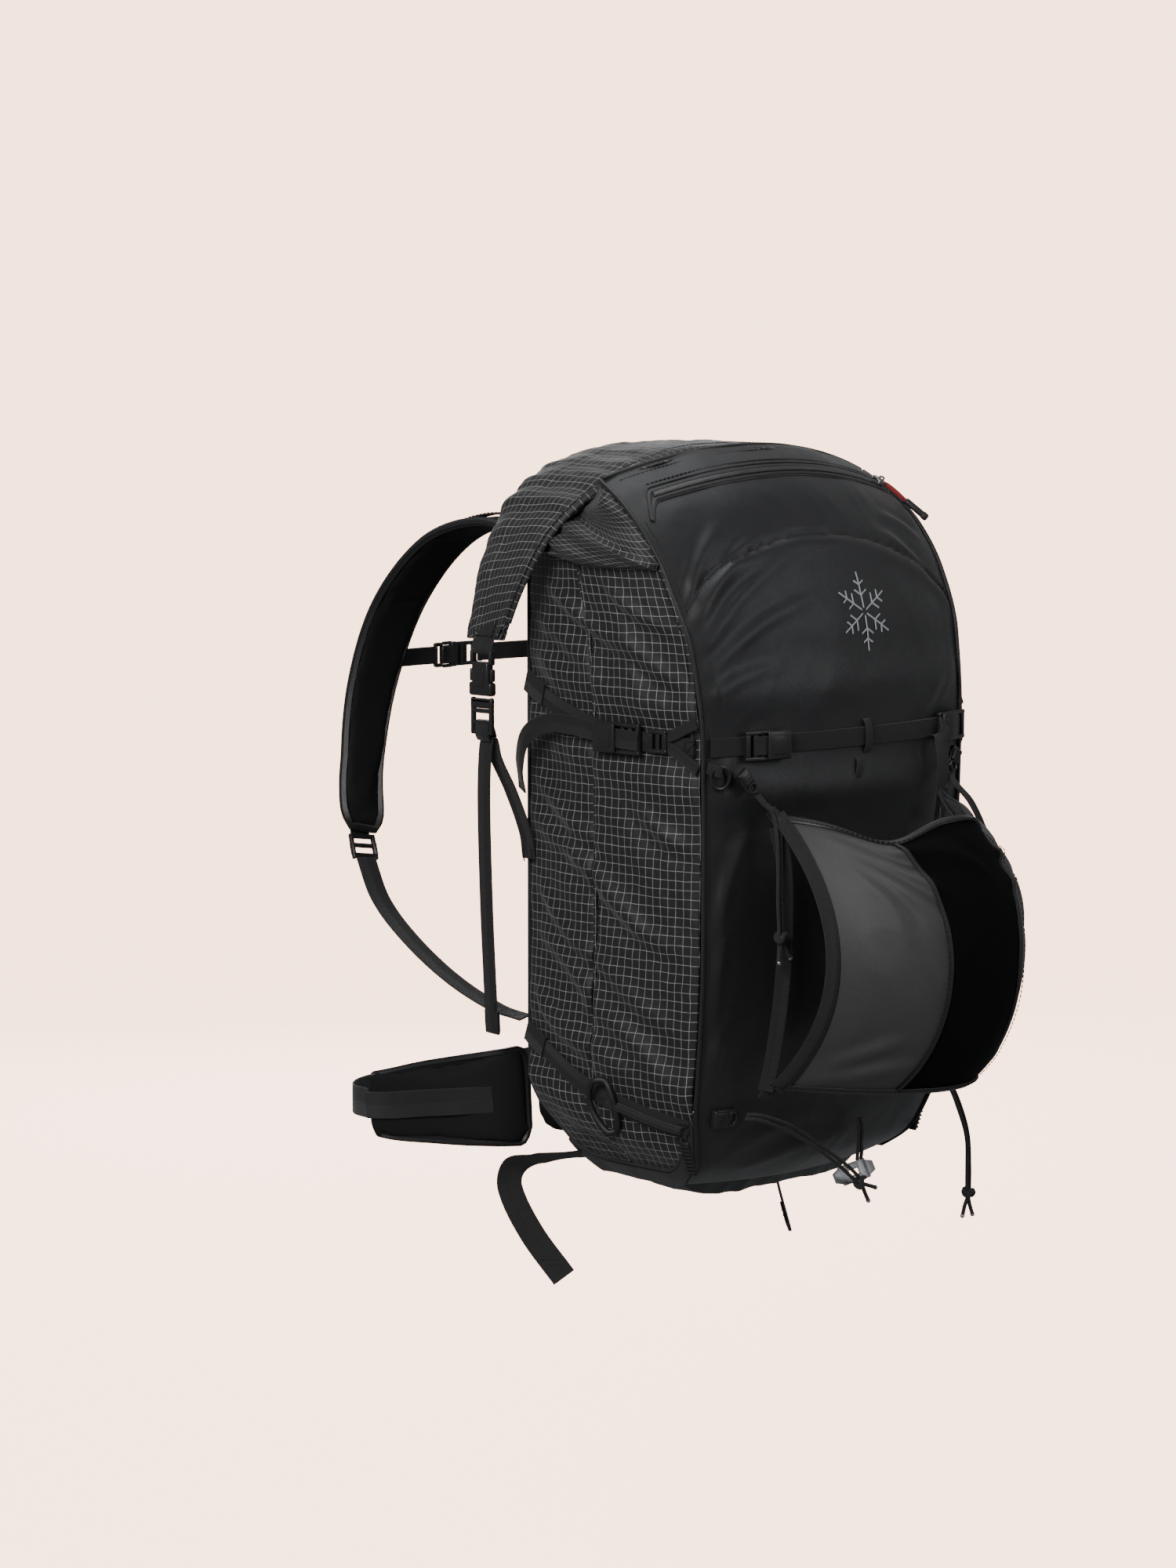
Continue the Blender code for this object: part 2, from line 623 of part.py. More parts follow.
def make_sternum_half(hand):
    seat = mirrored(hand, (0.1020, 0.2065, STERNUM_Z))
    pivot = pivot_empty(hand_name(hand, "sternum_slider_axis"), seat)
    clip = frame_at(seat, mirrored(hand, (0.18, 0.20, -0.96)), (0, 1, 0.2))
    block(hand_name(hand, "sternum_slider"), "buckle", (0.020, 0.034, 0.0050), clip, pivot=pivot)
    route = [mirrored(hand, p) for p in ((0.0830, 0.2080, STERNUM_Z), (0.062, 0.2110, STERNUM_Z),
                                         (0.040, STERNUM_Y, STERNUM_Z), (0.0260, STERNUM_Y, STERNUM_Z))]
    ribbon(hand_name(hand, "sternum_strap"), "webbing", route, (0, 0, 1), STRAP_WIDTH, count=10, pivot=pivot)
    name = "sternum_buckle_female" if hand < 0 else "sternum_buckle_male"
    buckle = Matrix.Translation(mirrored(hand, (0.0130, STERNUM_Y, STERNUM_Z)))
    block(name, "buckle", (0.0250, 0.0075, 0.0220), buckle, bevel=0.002, pivot=pivot)


def make_hip_half(hand):
    pivot = pivot_empty(hand_name(hand, "hip_wing_axis"), mirrored(hand, HIP_PIVOT))
    wing = [mirrored(hand, p) for p in ((0.1250, -0.0075, -0.045), (0.146, 0.0020, -0.046),
                                        (0.163, 0.026, -0.049), (0.171, 0.060, -0.054),
                                        (0.171, 0.098, -0.061), (0.164, 0.135, -0.067))]
    ribbon(hand_name(hand, "hip_wing"), "padding", wing, (0, 0, 1),
           lambda u: 0.084 - 0.030 * u, 0.0095, 16, pivot)
    web = [mirrored(hand, p) for p in ((0.1620, 0.1430, -0.068), (0.148, 0.178, -0.071),
                                       (0.118, 0.208, -0.074), (0.080, 0.224, -0.076),
                                       (0.050, HIP_FRONT_Y, HIP_FRONT_Z), (0.0330, HIP_FRONT_Y, HIP_FRONT_Z))]
    ribbon(hand_name(hand, "hip_webbing"), "webbing", web, (0, 0, 1), 0.025, count=18, pivot=pivot)
    name = "hip_buckle_female" if hand < 0 else "hip_buckle_male"
    buckle = Matrix.Translation(mirrored(hand, (0.0165, HIP_FRONT_Y, HIP_FRONT_Z)))
    block(name, "buckle", (0.0320, 0.0100, 0.0340), buckle, bevel=0.0025, pivot=pivot)


def make_belt_tail(hand):
    route = [(0.1215, -0.0700, -0.0840), (0.1380, -0.0380, -0.0900), (0.1480, -0.0180, -0.0980),
             (0.1500, -0.0140, -0.1150), (0.1430, -0.0310, -0.1500), (0.1310, -0.0570, -0.1850)]
    across = mirrored(hand, (-0.72, -0.69, 0.0))
    ribbon(hand_name(hand, "belt_tail"), "webbing", [mirrored(hand, p) for p in route], across,
           WIDE_STRAP, count=22)


def main():
    clear_scene()
    make_front_panel()
    make_back_wall()
    make_base_panel()
    make_frame()
    make_back_padding()
    make_haul_loop()
    make_zip()
    make_front_strap()
    make_roll_top()
    make_carrier()
    make_lower_cords()
    make_axe_toggle()
    for hand in (-1, 1):
        make_side_panel(hand)
        make_side_straps(hand)
        make_front_buckle(hand)
        make_roll_strap(hand)
        make_shoulder_strap(hand)
        make_sternum_half(hand)
        make_hip_half(hand)
        make_belt_tail(hand)


main()
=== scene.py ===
"""Ski touring backpack, dressed: cloth, webbing, cords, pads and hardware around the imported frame."""
import logging
import math
from dataclasses import dataclass, field
from enum import Enum
from typing import Callable, Sequence

import bmesh
import bpy
import numpy as np
from mathutils import Matrix, Vector, noise


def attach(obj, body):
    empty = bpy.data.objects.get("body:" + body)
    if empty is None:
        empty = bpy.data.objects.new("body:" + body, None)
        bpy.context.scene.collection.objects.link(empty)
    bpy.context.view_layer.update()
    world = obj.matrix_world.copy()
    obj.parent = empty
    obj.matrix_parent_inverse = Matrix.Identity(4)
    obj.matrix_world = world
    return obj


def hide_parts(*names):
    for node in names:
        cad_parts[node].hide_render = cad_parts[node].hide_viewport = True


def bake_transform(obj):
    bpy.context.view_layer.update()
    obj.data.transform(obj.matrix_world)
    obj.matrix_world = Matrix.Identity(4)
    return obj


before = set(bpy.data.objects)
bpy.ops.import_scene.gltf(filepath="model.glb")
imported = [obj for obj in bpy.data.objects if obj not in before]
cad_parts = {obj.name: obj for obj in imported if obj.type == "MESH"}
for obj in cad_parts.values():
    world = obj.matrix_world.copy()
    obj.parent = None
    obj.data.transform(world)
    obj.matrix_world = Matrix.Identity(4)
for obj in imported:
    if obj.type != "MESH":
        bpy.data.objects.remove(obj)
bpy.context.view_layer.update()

LOG = logging.getLogger("ski_backpack")
HANDS = (-1, 1)


# ---------------------------------------------------------------- shader maths

class Value:
    """A number socket of a shader, on which Python arithmetic adds Math nodes."""

    def __init__(self, shader: "Shader", socket: bpy.types.NodeSocket) -> None:
        """Wraps a socket of that shader."""
        self.shader = shader
        self.socket = socket

    def math(self, operation: str, *others: object) -> "Value":
        """Adds one Math node.

        Args:
            operation: the node's operation.
            others: its further inputs, numbers or values.
        Returns:
            The node's result.
        """
        inputs = {i: _socket(v) for i, v in enumerate((self, *others))}
        made = self.shader.node("ShaderNodeMath", {"operation": operation}, inputs)
        return Value(self.shader, made.outputs[0])

    def __add__(self, other: object) -> "Value":
        """Sum."""
        return self.math("ADD", other)

    __radd__ = __add__

    def __mul__(self, other: object) -> "Value":
        """Product."""
        return self.math("MULTIPLY", other)

    __rmul__ = __mul__

    def __sub__(self, other: object) -> "Value":
        """Difference."""
        return self.math("SUBTRACT", other)

    def __rsub__(self, other: object) -> "Value":
        """Difference from a number."""
        return self.math("MULTIPLY", -1.0) + other

    def __truediv__(self, other: object) -> "Value":
        """Quotient."""
        return self.math("DIVIDE", other)

    def fract(self) -> "Value":
        """Part after the point."""
        return self.math("FRACT")

    def size(self) -> "Value":
        """Value without its sign."""
        return self.math("ABSOLUTE")

    def sine(self) -> "Value":
        """Sine of the value."""
        return self.math("SINE")

    def larger(self, other: object) -> "Value":
        """The larger of two values."""
        return self.math("MAXIMUM", other)

    def clipped(self) -> "Value":
        """Value kept between 0 and 1."""
        return self.math("MAXIMUM", 0.0).math("MINIMUM", 1.0)

    def band(self, width: float, soft: float) -> "Value":
        """1 where the value is under width, fading to 0 over soft.

        Args:
            width: where the fade starts.
            soft: how wide the fade is.
        Returns:
            The mask.
        """
        return ((width + soft - self) / soft).clipped()


def _socket(value: object) -> object:
    """The socket of a wrapped value, or the value itself."""
    return value.socket if isinstance(value, Value) else value


class Shader:
    """One material's node tree, with a Principled BSDF at its end."""

    def __init__(self, name: str) -> None:
        """Starts an empty material of that name."""
        self.material = bpy.data.materials.new(name)
        self.material.use_nodes = True
        self.tree = self.material.node_tree
        self.surface = self.tree.nodes["Principled BSDF"]

    def node(self, kind: str, settings: dict, inputs: dict) -> bpy.types.Node:
        """Adds a node.

        Args:
            kind: the node's type.
            settings: attributes set before its inputs.
            inputs: values or sockets by input name or number.
        Returns:
            The node.
        """
        made = self.tree.nodes.new(kind)
        for key, value in settings.items():
            setattr(made, key, value)
        for key, value in inputs.items():
            value = _socket(value)
            if isinstance(value, bpy.types.NodeSocket):
                self.tree.links.new(value, made.inputs[key])
            else:
                made.inputs[key].default_value = value
        return made

    def place(self, scale: float | tuple = 1.0) -> bpy.types.NodeSocket:
        """Object coordinates times a scale.

        Args:
            scale: one factor, or one for each axis.
        Returns:
            The vector socket.
        """
        factors = scale if isinstance(scale, tuple) else (scale,) * 3
        at = self.node("ShaderNodeTexCoord", {}, {}).outputs["Object"]
        return self.vector("MULTIPLY", at, factors)

    def vector(self, operation: str, first: object, second: object) -> bpy.types.NodeSocket:
        """Adds one Vector Math node and gives its result."""
        return self.node("ShaderNodeVectorMath", {"operation": operation}, {0: first, 1: second}).outputs[0]

    def cloth_place(self) -> bpy.types.NodeSocket:
        """The piece's own map, in metres of cloth."""
        return self.node("ShaderNodeUVMap", {"uv_map": "cloth"}, {}).outputs[0]

    def parts(self, vector: bpy.types.NodeSocket) -> tuple[Value, Value]:
        """First two numbers of a vector."""
        made = self.node("ShaderNodeSeparateXYZ", {}, {0: vector})
        return Value(self, made.outputs[0]), Value(self, made.outputs[1])

    def noise(self, vector: bpy.types.NodeSocket, scale: float, detail: float = 3.0,
              roughness: float = 0.55) -> Value:
        """Noise between 0 and 1.

        Args:
            vector: where it is read.
            scale: its frequency.
            detail: its octaves.
            roughness: how strong the fine octaves are.
        Returns:
            The noise.
        """
        made = self.node("ShaderNodeTexNoise", {},
                         {"Vector": vector, "Scale": scale, "Detail": detail, "Roughness": roughness})
        return Value(self, made.outputs[0])

    def mix(self, low: object, high: object, factor: object) -> bpy.types.NodeSocket:
        """Colour between two.

        Args:
            low: colour at factor 0.
            high: colour at factor 1.
            factor: the share of high.
        Returns:
            The mixed colour.
        """
        made = self.node("ShaderNodeMix", {"data_type": "RGBA"},
                         {0: factor, 6: _colour(low), 7: _colour(high)})
        return made.outputs[2]

    def set(self, **values: object) -> None:
        """Sets the surface's sockets, with _ for the spaces in their names."""
        for key, value in values.items():
            socket = self.surface.inputs[key.replace("_", " ")]
            value = _colour(_socket(value))
            if isinstance(value, bpy.types.NodeSocket):
                self.tree.links.new(value, socket)
            else:
                socket.default_value = value

    def bump(self, height: Value, depth: float, strength: float = 1.0) -> None:
        """Raises the surface by a height between 0 and 1.

        Args:
            height: the relief.
            depth: metres from 0 to 1.
            strength: how much of it shows.
        """
        made = self.node("ShaderNodeBump", {}, {"Height": height, "Distance": depth, "Strength": strength})
        self.tree.links.new(made.outputs[0], self.surface.inputs["Normal"])


def _colour(value: object) -> object:
    """A colour of three numbers with its alpha added."""
    return (*value, 1.0) if isinstance(value, tuple) and len(value) == 3 else value


Colour = tuple[float, float, float]


def toned(colour: Colour, factor: float) -> Colour:
    """A colour made darker or lighter."""
    return tuple(factor * part for part in colour)


class Finish:
    """Base of all finishes: the material is built once, when it is first asked for."""

    def get(self) -> bpy.types.Material:
        """The finish's material."""
        name = type(self).__name__.lower() + "_" + self.name
        return bpy.data.materials.get(name) or self.build(name)

    def build(self, name: str) -> bpy.types.Material:
        """Makes the material of that name."""
        raise NotImplementedError


@dataclass(frozen=True)
class Ripstop(Finish):
    """Thin cloth with a grid of pale reinforcing threads."""

    name: str
    cloth: Colour = (0.0088, 0.009, 0.0095)
    thread: Colour = (0.46, 0.465, 0.46)
    pitch: float = 0.0072
    half_thread: float = 0.00015

    def build(self, name: str) -> bpy.types.Material:
        """Makes the material of that name."""
        s = Shader(name)
        at = s.cloth_place()
        drift = s.node("ShaderNodeTexNoise", {}, {"Vector": at, "Scale": 42.0, "Detail": 2.0}).outputs[1]
        drift = s.vector("SUBTRACT", drift, (0.5,) * 3)
        drift = s.vector("MULTIPLY", drift, (0.0026,) * 3)
        moved = s.vector("ADD", at, drift)
        u, v = s.parts(moved)
        fade = s.noise(at, 160.0, 3.0, 0.7)
        lines = []
        for along, other in ((u, v), (v, u)):
            off = ((along / self.pitch).fract() - 0.5).size() * self.pitch
            beads = (other * (2 * math.pi / 0.0009)).sine() * 0.25 + 0.75
            lines.append(off.band(self.half_thread, 0.00019) * beads)
        across, down = lines
        mask = across.larger(down) * (fade * 1.15 + 0.12) + across * down * 0.35
        mask = mask.clipped()
        weave = ((u * (2 * math.pi / 0.00055)).sine() * (v * (2 * math.pi / 0.00055)).sine()) * 0.5 + 0.5
        shade = s.noise(at, 26.0, 4.0)
        cloth = s.mix(toned(self.cloth, 0.72), toned(self.cloth, 1.35), shade)
        s.set(Base_Color=s.mix(cloth, self.thread, mask), Roughness=0.5 - mask * 0.08 + shade * 0.12,
              Sheen_Weight=0.12, Sheen_Roughness=0.45, Specular_IOR_Level=0.5)
        s.bump(across.larger(down) * 0.6 + weave * 0.25 + s.noise(at, 420.0, 3.0) * 0.5, 0.00022, 0.8)
        return s.material


@dataclass(frozen=True)
class ShellCloth(Finish):
    """Coated or plain fine cloth with a soft shine."""

    name: str
    cloth: Colour = (0.0115, 0.0119, 0.0132)
    rough: float = 0.4
    streak: float = 0.5
    sheen: float = 0.1

    def build(self, name: str) -> bpy.types.Material:
        """Makes the material of that name."""
        s = Shader(name)
        at = s.cloth_place()
        u, v = s.parts(at)
        weave = ((u * (2 * math.pi / 0.00062)).sine() * (v * (2 * math.pi / 0.00062)).sine()) * 0.5 + 0.5
        long = s.vector("MULTIPLY", at, (90.0, 1300.0, 1.0))
        slub = s.noise(long, 1.0, 2.0, 0.6)
        high = s.vector("MULTIPLY", at, (1300.0, 90.0, 1.0))
        warp = s.noise(high, 1.0, 2.0, 0.6)
        cloud = s.noise(at, 14.0, 4.0)
        tone = (slub + warp) * 0.5 * self.streak + cloud * (1.0 - self.streak)
        s.set(Base_Color=s.mix(toned(self.cloth, 0.62), toned(self.cloth, 1.45), tone),
              Roughness=cloud * 0.1 + (slub * 0.1 + self.rough - 0.1), Sheen_Weight=self.sheen,
              Sheen_Roughness=0.4, Specular_IOR_Level=0.5)
        s.bump(weave * 0.4 + slub * 0.5 + warp * 0.5 + s.noise(at, 260.0, 4.0) * 0.5, 0.00016, 0.7)
        return s.material


@dataclass(frozen=True)
class KnitMesh(Finish):
    """Stretch mesh with slanting rows of small holes, the holes painted darker as painted shade and the
    raised yarn lighter as painted highlight.
    """

    name: str
    yarn: Colour = (0.0024, 0.0025, 0.0028)
    pitch: float = 0.0013

    def build(self, name: str) -> bpy.types.Material:
        """Makes the material of that name."""
        s = Shader(name)
        at = s.cloth_place()
        u, v = s.parts(at)
        turn = 2 * math.pi / self.pitch
        rows = ((u + v * 0.8) * turn).sine()
        cross = ((u * 0.35 - v) * turn * 1.15).sine()
        holes = (rows * cross) * 0.5 + 0.5
        cloud = s.noise(at, 30.0, 3.0)
        # Low values of holes are the holes and high values the raised yarn; the base colour paints the holes
        # darker as painted shade and the raised yarn lighter as painted highlight, with random tone from the
        # cloud noise.
        s.set(Base_Color=s.mix(toned(self.yarn, 0.45), toned(self.yarn, 1.6),
                               holes * 0.7 + cloud * 0.3),
              Roughness=0.86 - holes * 0.1, Specular_IOR_Level=0.1)
        s.bump(holes + s.noise(at, 500.0, 2.0) * 0.4, 0.00035, 0.9)
        return s.material


@dataclass(frozen=True)
class Webbing(Finish):
    """Woven strap with ribs along it, painted lighter on the ribs as painted highlight and darker in the
    grooves as painted shade.
    """

    name: str
    yarn: Colour = (0.012, 0.0122, 0.013)
    rib: float = 0.0017

    def build(self, name: str) -> bpy.types.Material:
        """Makes the material of that name."""
        s = Shader(name)
        at = s.cloth_place()
        u, v = s.parts(at)
        turn = 2 * math.pi / self.rib
        slant = ((u + v.size() * 1.2) * turn).sine() * 0.5 + 0.5
        ribs = (v * turn * 1.3).sine() * 0.5 + 0.5
        fuzz = s.noise(at, 900.0, 2.0)
        wear = s.noise(at, 40.0, 3.0)
        height = slant * 0.6 + ribs * 0.4
        # The base colour follows the ribs' relief: painted highlight on the crests and painted shade in the
        # grooves, with random tone from the wear noise.
        s.set(Base_Color=s.mix(toned(self.yarn, 0.5), toned(self.yarn, 1.9),
                               height * 0.6 + wear * 0.4),
              Roughness=0.62 + fuzz * 0.2, Sheen_Weight=0.15, Sheen_Roughness=0.4, Specular_IOR_Level=0.4)
        s.bump(height + fuzz * 0.3, 0.0003, 0.9)
        return s.material


@dataclass(frozen=True)
class Braid(Finish):
    """Braided sheath of a cord."""

    name: str
    yarn: Colour = (0.011, 0.011, 0.0115)
    fleck: Colour = (0.035, 0.035, 0.037)

    def build(self, name: str) -> bpy.types.Material:
        """Makes the material of that name."""
        s = Shader(name)
        at = s.cloth_place()
        u, v = s.parts(at)
        turn = 2 * math.pi / 0.0016
        left = ((u + v) * turn).sine()
        right = ((u - v) * turn).sine()
        strands = (left * right) * 0.5 + 0.5
        s.set(Base_Color=s.mix(self.yarn, self.fleck, strands * s.noise(at, 300.0)),
              Roughness=0.6 + strands * 0.15, Sheen_Weight=0.12, Specular_IOR_Level=0.4)
        s.bump(strands, 0.0003, 0.9)
        return s.material


@dataclass(frozen=True)
class Moulded(Finish):
    """Moulded plastic or rubber with a fine spark-eroded grain."""

    name: str
    colour: Colour = (0.013, 0.013, 0.014)
    rough: float = 0.24

    def build(self, name: str) -> bpy.types.Material:
        """Makes the material of that name."""
        s = Shader(name)
        grain = s.noise(s.place(), 1800.0, 2.0)
        wear = s.noise(s.place(), 60.0, 4.0)
        s.set(Base_Color=s.mix(self.colour, toned(self.colour, 2.4), wear * grain),
              Roughness=grain * 0.1 + (wear * 0.14 + self.rough - 0.08), Specular_IOR_Level=0.5)
        s.bump(grain + wear * 0.5, 0.00008, 0.6)
        return s.material


@dataclass(frozen=True)
class Metal(Finish):
    """Satin metal with fine scratches."""

    name: str
    colour: Colour = (0.62, 0.63, 0.64)
    rough: float = 0.34

    def build(self, name: str) -> bpy.types.Material:
        """Makes the material of that name."""
        s = Shader(name)
        brush = s.noise(s.place((2400.0, 120.0, 120.0)), 1.0, 2.0)
        smear = s.noise(s.place(), 90.0, 4.0)
        s.set(Base_Color=s.mix(toned(self.colour, 0.78), self.colour, smear), Metallic=1.0,
              Roughness=brush * 0.12 + (smear * 0.14 + self.rough - 0.1))
        s.bump(brush, 0.00003, 0.5)
        return s.material


@dataclass(frozen=True)
class Thread(Finish):
    """Sewing thread or printed mark, twisted or plain."""

    name: str
    colour: Colour = (0.02, 0.02, 0.021)

    def build(self, name: str) -> bpy.types.Material:
        """Makes the material of that name."""
        s = Shader(name)
        fibre = s.noise(s.place(), 2600.0, 2.0)
        s.set(Base_Color=s.mix(toned(self.colour, 0.7), toned(self.colour, 1.25), fibre),
              Roughness=0.55 + fibre * 0.2, Specular_IOR_Level=0.35)
        s.bump(fibre, 0.00005, 0.5)
        return s.material


@dataclass(frozen=True)
class Backdrop(Finish):
    """Matte floor and backdrop."""

    name: str
    colour: Colour = (0.9, 0.86, 0.83)

    def build(self, name: str) -> bpy.types.Material:
        """Makes the material of that name."""
        s = Shader(name)
        s.set(Base_Color=s.mix(self.colour, toned(self.colour, 0.985), s.noise(s.place(), 3.0)),
              Roughness=0.9, Specular_IOR_Level=0.1)
        return s.material


GRID_CLOTH = Ripstop("grid")
SHELL = ShellCloth("shell")
BASE_CLOTH = ShellCloth("base", cloth=(0.018, 0.0185, 0.0195), rough=0.5)
STRETCH = ShellCloth("stretch", cloth=(0.038, 0.0385, 0.04), rough=0.54, streak=0.3, sheen=0.15)
LINING = ShellCloth("lining", cloth=(0.014, 0.014, 0.0145), rough=0.65)
BLACK_MESH = KnitMesh("black")
PAD_CLOTH = KnitMesh("pad", yarn=(0.015, 0.0152, 0.016), pitch=0.0022)
STRAP = Webbing("black")
CORD_SHEATH = Braid("black")
RED_SHEATH = Braid("red", yarn=(0.26, 0.006, 0.008), fleck=(0.42, 0.03, 0.03))
PLASTIC = Moulded("black")
TEETH = Moulded("teeth", colour=(0.045, 0.045, 0.047), rough=0.22)
RUBBER = Moulded("rubber", colour=(0.01, 0.01, 0.0105), rough=0.5)
BOARD = Moulded("board", colour=(0.05, 0.05, 0.052), rough=0.5)
ALUMINIUM = Metal("light", colour=(0.52, 0.53, 0.53), rough=0.45)
STEEL = Metal("slider", colour=(0.5, 0.5, 0.51), rough=0.28)
STITCH = Thread("stitch", colour=(0.014, 0.014, 0.015))
PRINT = Thread("print", colour=(0.42, 0.43, 0.44))
ZIP_TAPE = ShellCloth("zip", cloth=(0.01, 0.01, 0.011), rough=0.34)


# ---------------------------------------------------------------- curves and grids

def hermite(keys: Sequence[float], values: Sequence[float], x: np.ndarray, level: bool = False) -> np.ndarray:
    """Smooth curve through uneven keys.

    Args:
        keys: rising keys.
        values: the value at each.
        x: where it is read.
        level: never swing past the values.
    Returns:
        The values at x.
    """
    keys, values = np.asarray(keys, float), np.asarray(values, float)
    rise = np.diff(values) / np.diff(keys)
    slopes = np.empty_like(values)
    slopes[0], slopes[-1] = rise[0], rise[-1]
    slopes[1:-1] = (values[2:] - values[:-2]) / (keys[2:] - keys[:-2])
    if level:
        product = rise[:-1] * rise[1:]
        total = np.where(np.abs(rise[:-1] + rise[1:]) < 1e-12, 1.0, rise[:-1] + rise[1:])
        slopes[1:-1] = np.where(product > 0, 2 * product / total, 0.0)
    x = np.asarray(x, float)
    i = np.clip(np.searchsorted(keys, x) - 1, 0, len(keys) - 2)
    step = keys[i + 1] - keys[i]
    t = (x - keys[i]) / step
    return ((2 * t ** 3 - 3 * t ** 2 + 1) * values[i] + (t ** 3 - 2 * t ** 2 + t) * step * slopes[i]
            + (3 * t ** 2 - 2 * t ** 3) * values[i + 1] + (t ** 3 - t ** 2) * step * slopes[i + 1])


def smooth_route(points: Sequence, count: int) -> np.ndarray:
    """Points at even steps of a smooth curve through a route's own points.

    Args:
        points: the route.
        count: how many points are wanted.
    Returns:
        An array of count rows.
    """
    points = np.array([tuple(p) for p in points], float)
    keys = lengths(points)
    x = np.linspace(0.0, keys[-1], count)
    return np.stack([hermite(keys, points[:, axis], x) for axis in range(3)], axis=1)


def lengths(row: np.ndarray) -> np.ndarray:
    """Length along a row of points, up to each of them."""
    return np.concatenate([[0.0], np.cumsum(np.linalg.norm(np.diff(row, axis=0), axis=1))])


def length_of(points: np.ndarray) -> float:
    """Length along a row of points."""
    return float(np.linalg.norm(np.diff(points, axis=0), axis=1).sum())


def unit(vectors: np.ndarray) -> np.ndarray:
    """Vectors made one long."""
    return vectors / np.maximum(np.linalg.norm(vectors, axis=-1, keepdims=True), 1e-12)


def field_noise(points: np.ndarray, scale: Sequence[float], seed: float) -> np.ndarray:
    """Smooth noise, about -1 to 1, at each point.

    Args:
        points: places, the last axis of three.
        scale: frequency along each axis.
        seed: shifts the pattern.
    Returns:
        The noise, in the shape of the points.
    """
    flat = points.reshape(-1, points.shape[-1])
    rows = [noise.noise(Vector((p[0] * scale[0] + seed, p[1] * scale[1], p[2] * scale[2] + seed * 0.7)))
            for p in flat]
    return np.array(rows).reshape(points.shape[:-1])


@dataclass(frozen=True)
class Fold:
    """A soft ridge in cloth, from one place of its flat pattern to another."""

    start: tuple[float, float]
    end: tuple[float, float]
    width: float
    height: float
    bow: float = 0.08

    def lift(self, flat: np.ndarray) -> np.ndarray:
        """How far the ridge raises each place of the flat cloth, with a soft valley along one side."""
        a, way = np.array(self.start), np.array(self.end) - np.array(self.start)
        size = float(np.hypot(*way))
        share = np.clip(((flat - a) @ way) / size ** 2, 0.0, 1.0)
        off = (flat - a) @ (np.array([-way[1], way[0]]) / size) - self.bow * size * np.sin(math.pi * share)
        ridge = bell(off, self.width)
        groove = 0.55 * bell(off - 1.6 * self.width, self.width)
        taper = np.sin(math.pi * share) ** 0.9
        return self.height * (ridge - groove) * taper


def grid_object(name: str, points: np.ndarray, flat: np.ndarray, finish: Finish, outward: Sequence[float],
                thickness: float = 0.0008) -> bpy.types.Object:
    """A skin from a grid of points.

    Args:
        name: the object's name.
        points: places, rows by columns by three.
        flat: the same places on the flat cloth, in metres, by two.
        finish: its finish.
        outward: rough direction of the outer side.
        thickness: wall to the inner side, or 0 for none.
    Returns:
        The object.
    """
    rows, columns = points.shape[0] - 1, points.shape[1] - 1
    bm = bmesh.new()
    cloth = bm.loops.layers.uv.new("cloth")
    bmesh.ops.create_grid(bm, x_segments=columns, y_segments=rows, size=0.5)
    index = {vert: (round((vert.co.y + 0.5) * rows), round((vert.co.x + 0.5) * columns)) for vert in bm.verts}
    for face in bm.faces:
        for loop in face.loops:
            loop[cloth].uv = flat[index[loop.vert]]
    for vert, at in index.items():
        vert.co = points[at]
    bm.normal_update()
    facing = sum((face.normal * face.calc_area() for face in bm.faces), Vector())
    if facing.dot(Vector(outward)) < 0:
        bmesh.ops.reverse_faces(bm, faces=bm.faces)
    ob = mesh_object(name, bm, finish)
    if thickness:
        wall = ob.modifiers.new("wall", "SOLIDIFY")
        wall.thickness = thickness
        wall.offset = -1.0
    return ob


def mesh_object(name: str, bm: bmesh.types.BMesh, finish: Finish) -> bpy.types.Object:
    """An object at the origin from a bmesh, which is freed.

    Args:
        name: the object's name.
        bm: its shape, in place.
        finish: its finish.
    Returns:
        The object.
    """
    mesh = bpy.data.meshes.new(name)
    bm.to_mesh(mesh)
    bm.free()
    mesh.shade_smooth()
    mesh.set_sharp_from_angle(angle=math.radians(42))
    mesh.materials.append(finish.get())
    ob = bpy.data.objects.new(name, mesh)
    bpy.context.scene.collection.objects.link(ob)
    return ob


def settle(ob: bpy.types.Object, body: str, slot: str, *nodes: str) -> bpy.types.Object:
    """Puts a finished piece on its body.

    Args:
        ob: the piece.
        body: the CAD body it rides on.
        slot: the record's material slot; not used.
        nodes: CAD nodes that it stands for.
    Returns:
        The piece.
    """
    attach(ob, body)
    if nodes:
        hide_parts(*nodes)
    return ob


def bell(off: np.ndarray, width: float) -> np.ndarray:
    """One at the middle, falling away on both sides within about a width."""
    return np.exp(-(off / width) ** 2)


def mirrored(row: np.ndarray) -> np.ndarray:
    """A row of places on the other side, in the opposite order."""
    return (row * np.array([-1, 1, 1]))[::-1]


def sewn(name: str, bm: bmesh.types.BMesh, body: str = "pack") -> bpy.types.Object:
    """Puts a bmesh of stitches on its body as one piece."""
    return settle(mesh_object(name, bm, STITCH), body, "webbing")


Section = Callable[[float], np.ndarray]


def round_section(radius: float, sides: int = 8) -> Section:
    """Circle of that radius, the same all along."""
    turn = np.linspace(0, 2 * math.pi, sides, endpoint=False)
    ring = np.stack([np.cos(turn), np.sin(turn)], axis=1) * radius
    return lambda share: ring


def strap_section(width: float, thickness: float = 0.0014) -> Section:
    """Flat webbing with rounded edges, and a little fuller in its middle."""
    half, thick = width / 2, thickness / 2
    ring = np.array([(-half, 0), (-half + thick, -thick), (-half * 0.4, -thick * 1.12),
                     (half * 0.4, -thick * 1.12),
                     (half - thick, -thick), (half, 0), (half - thick, thick), (half * 0.4, thick * 1.12),
                     (-half * 0.4, thick * 1.12), (-half + thick, thick)])
    return lambda share: ring


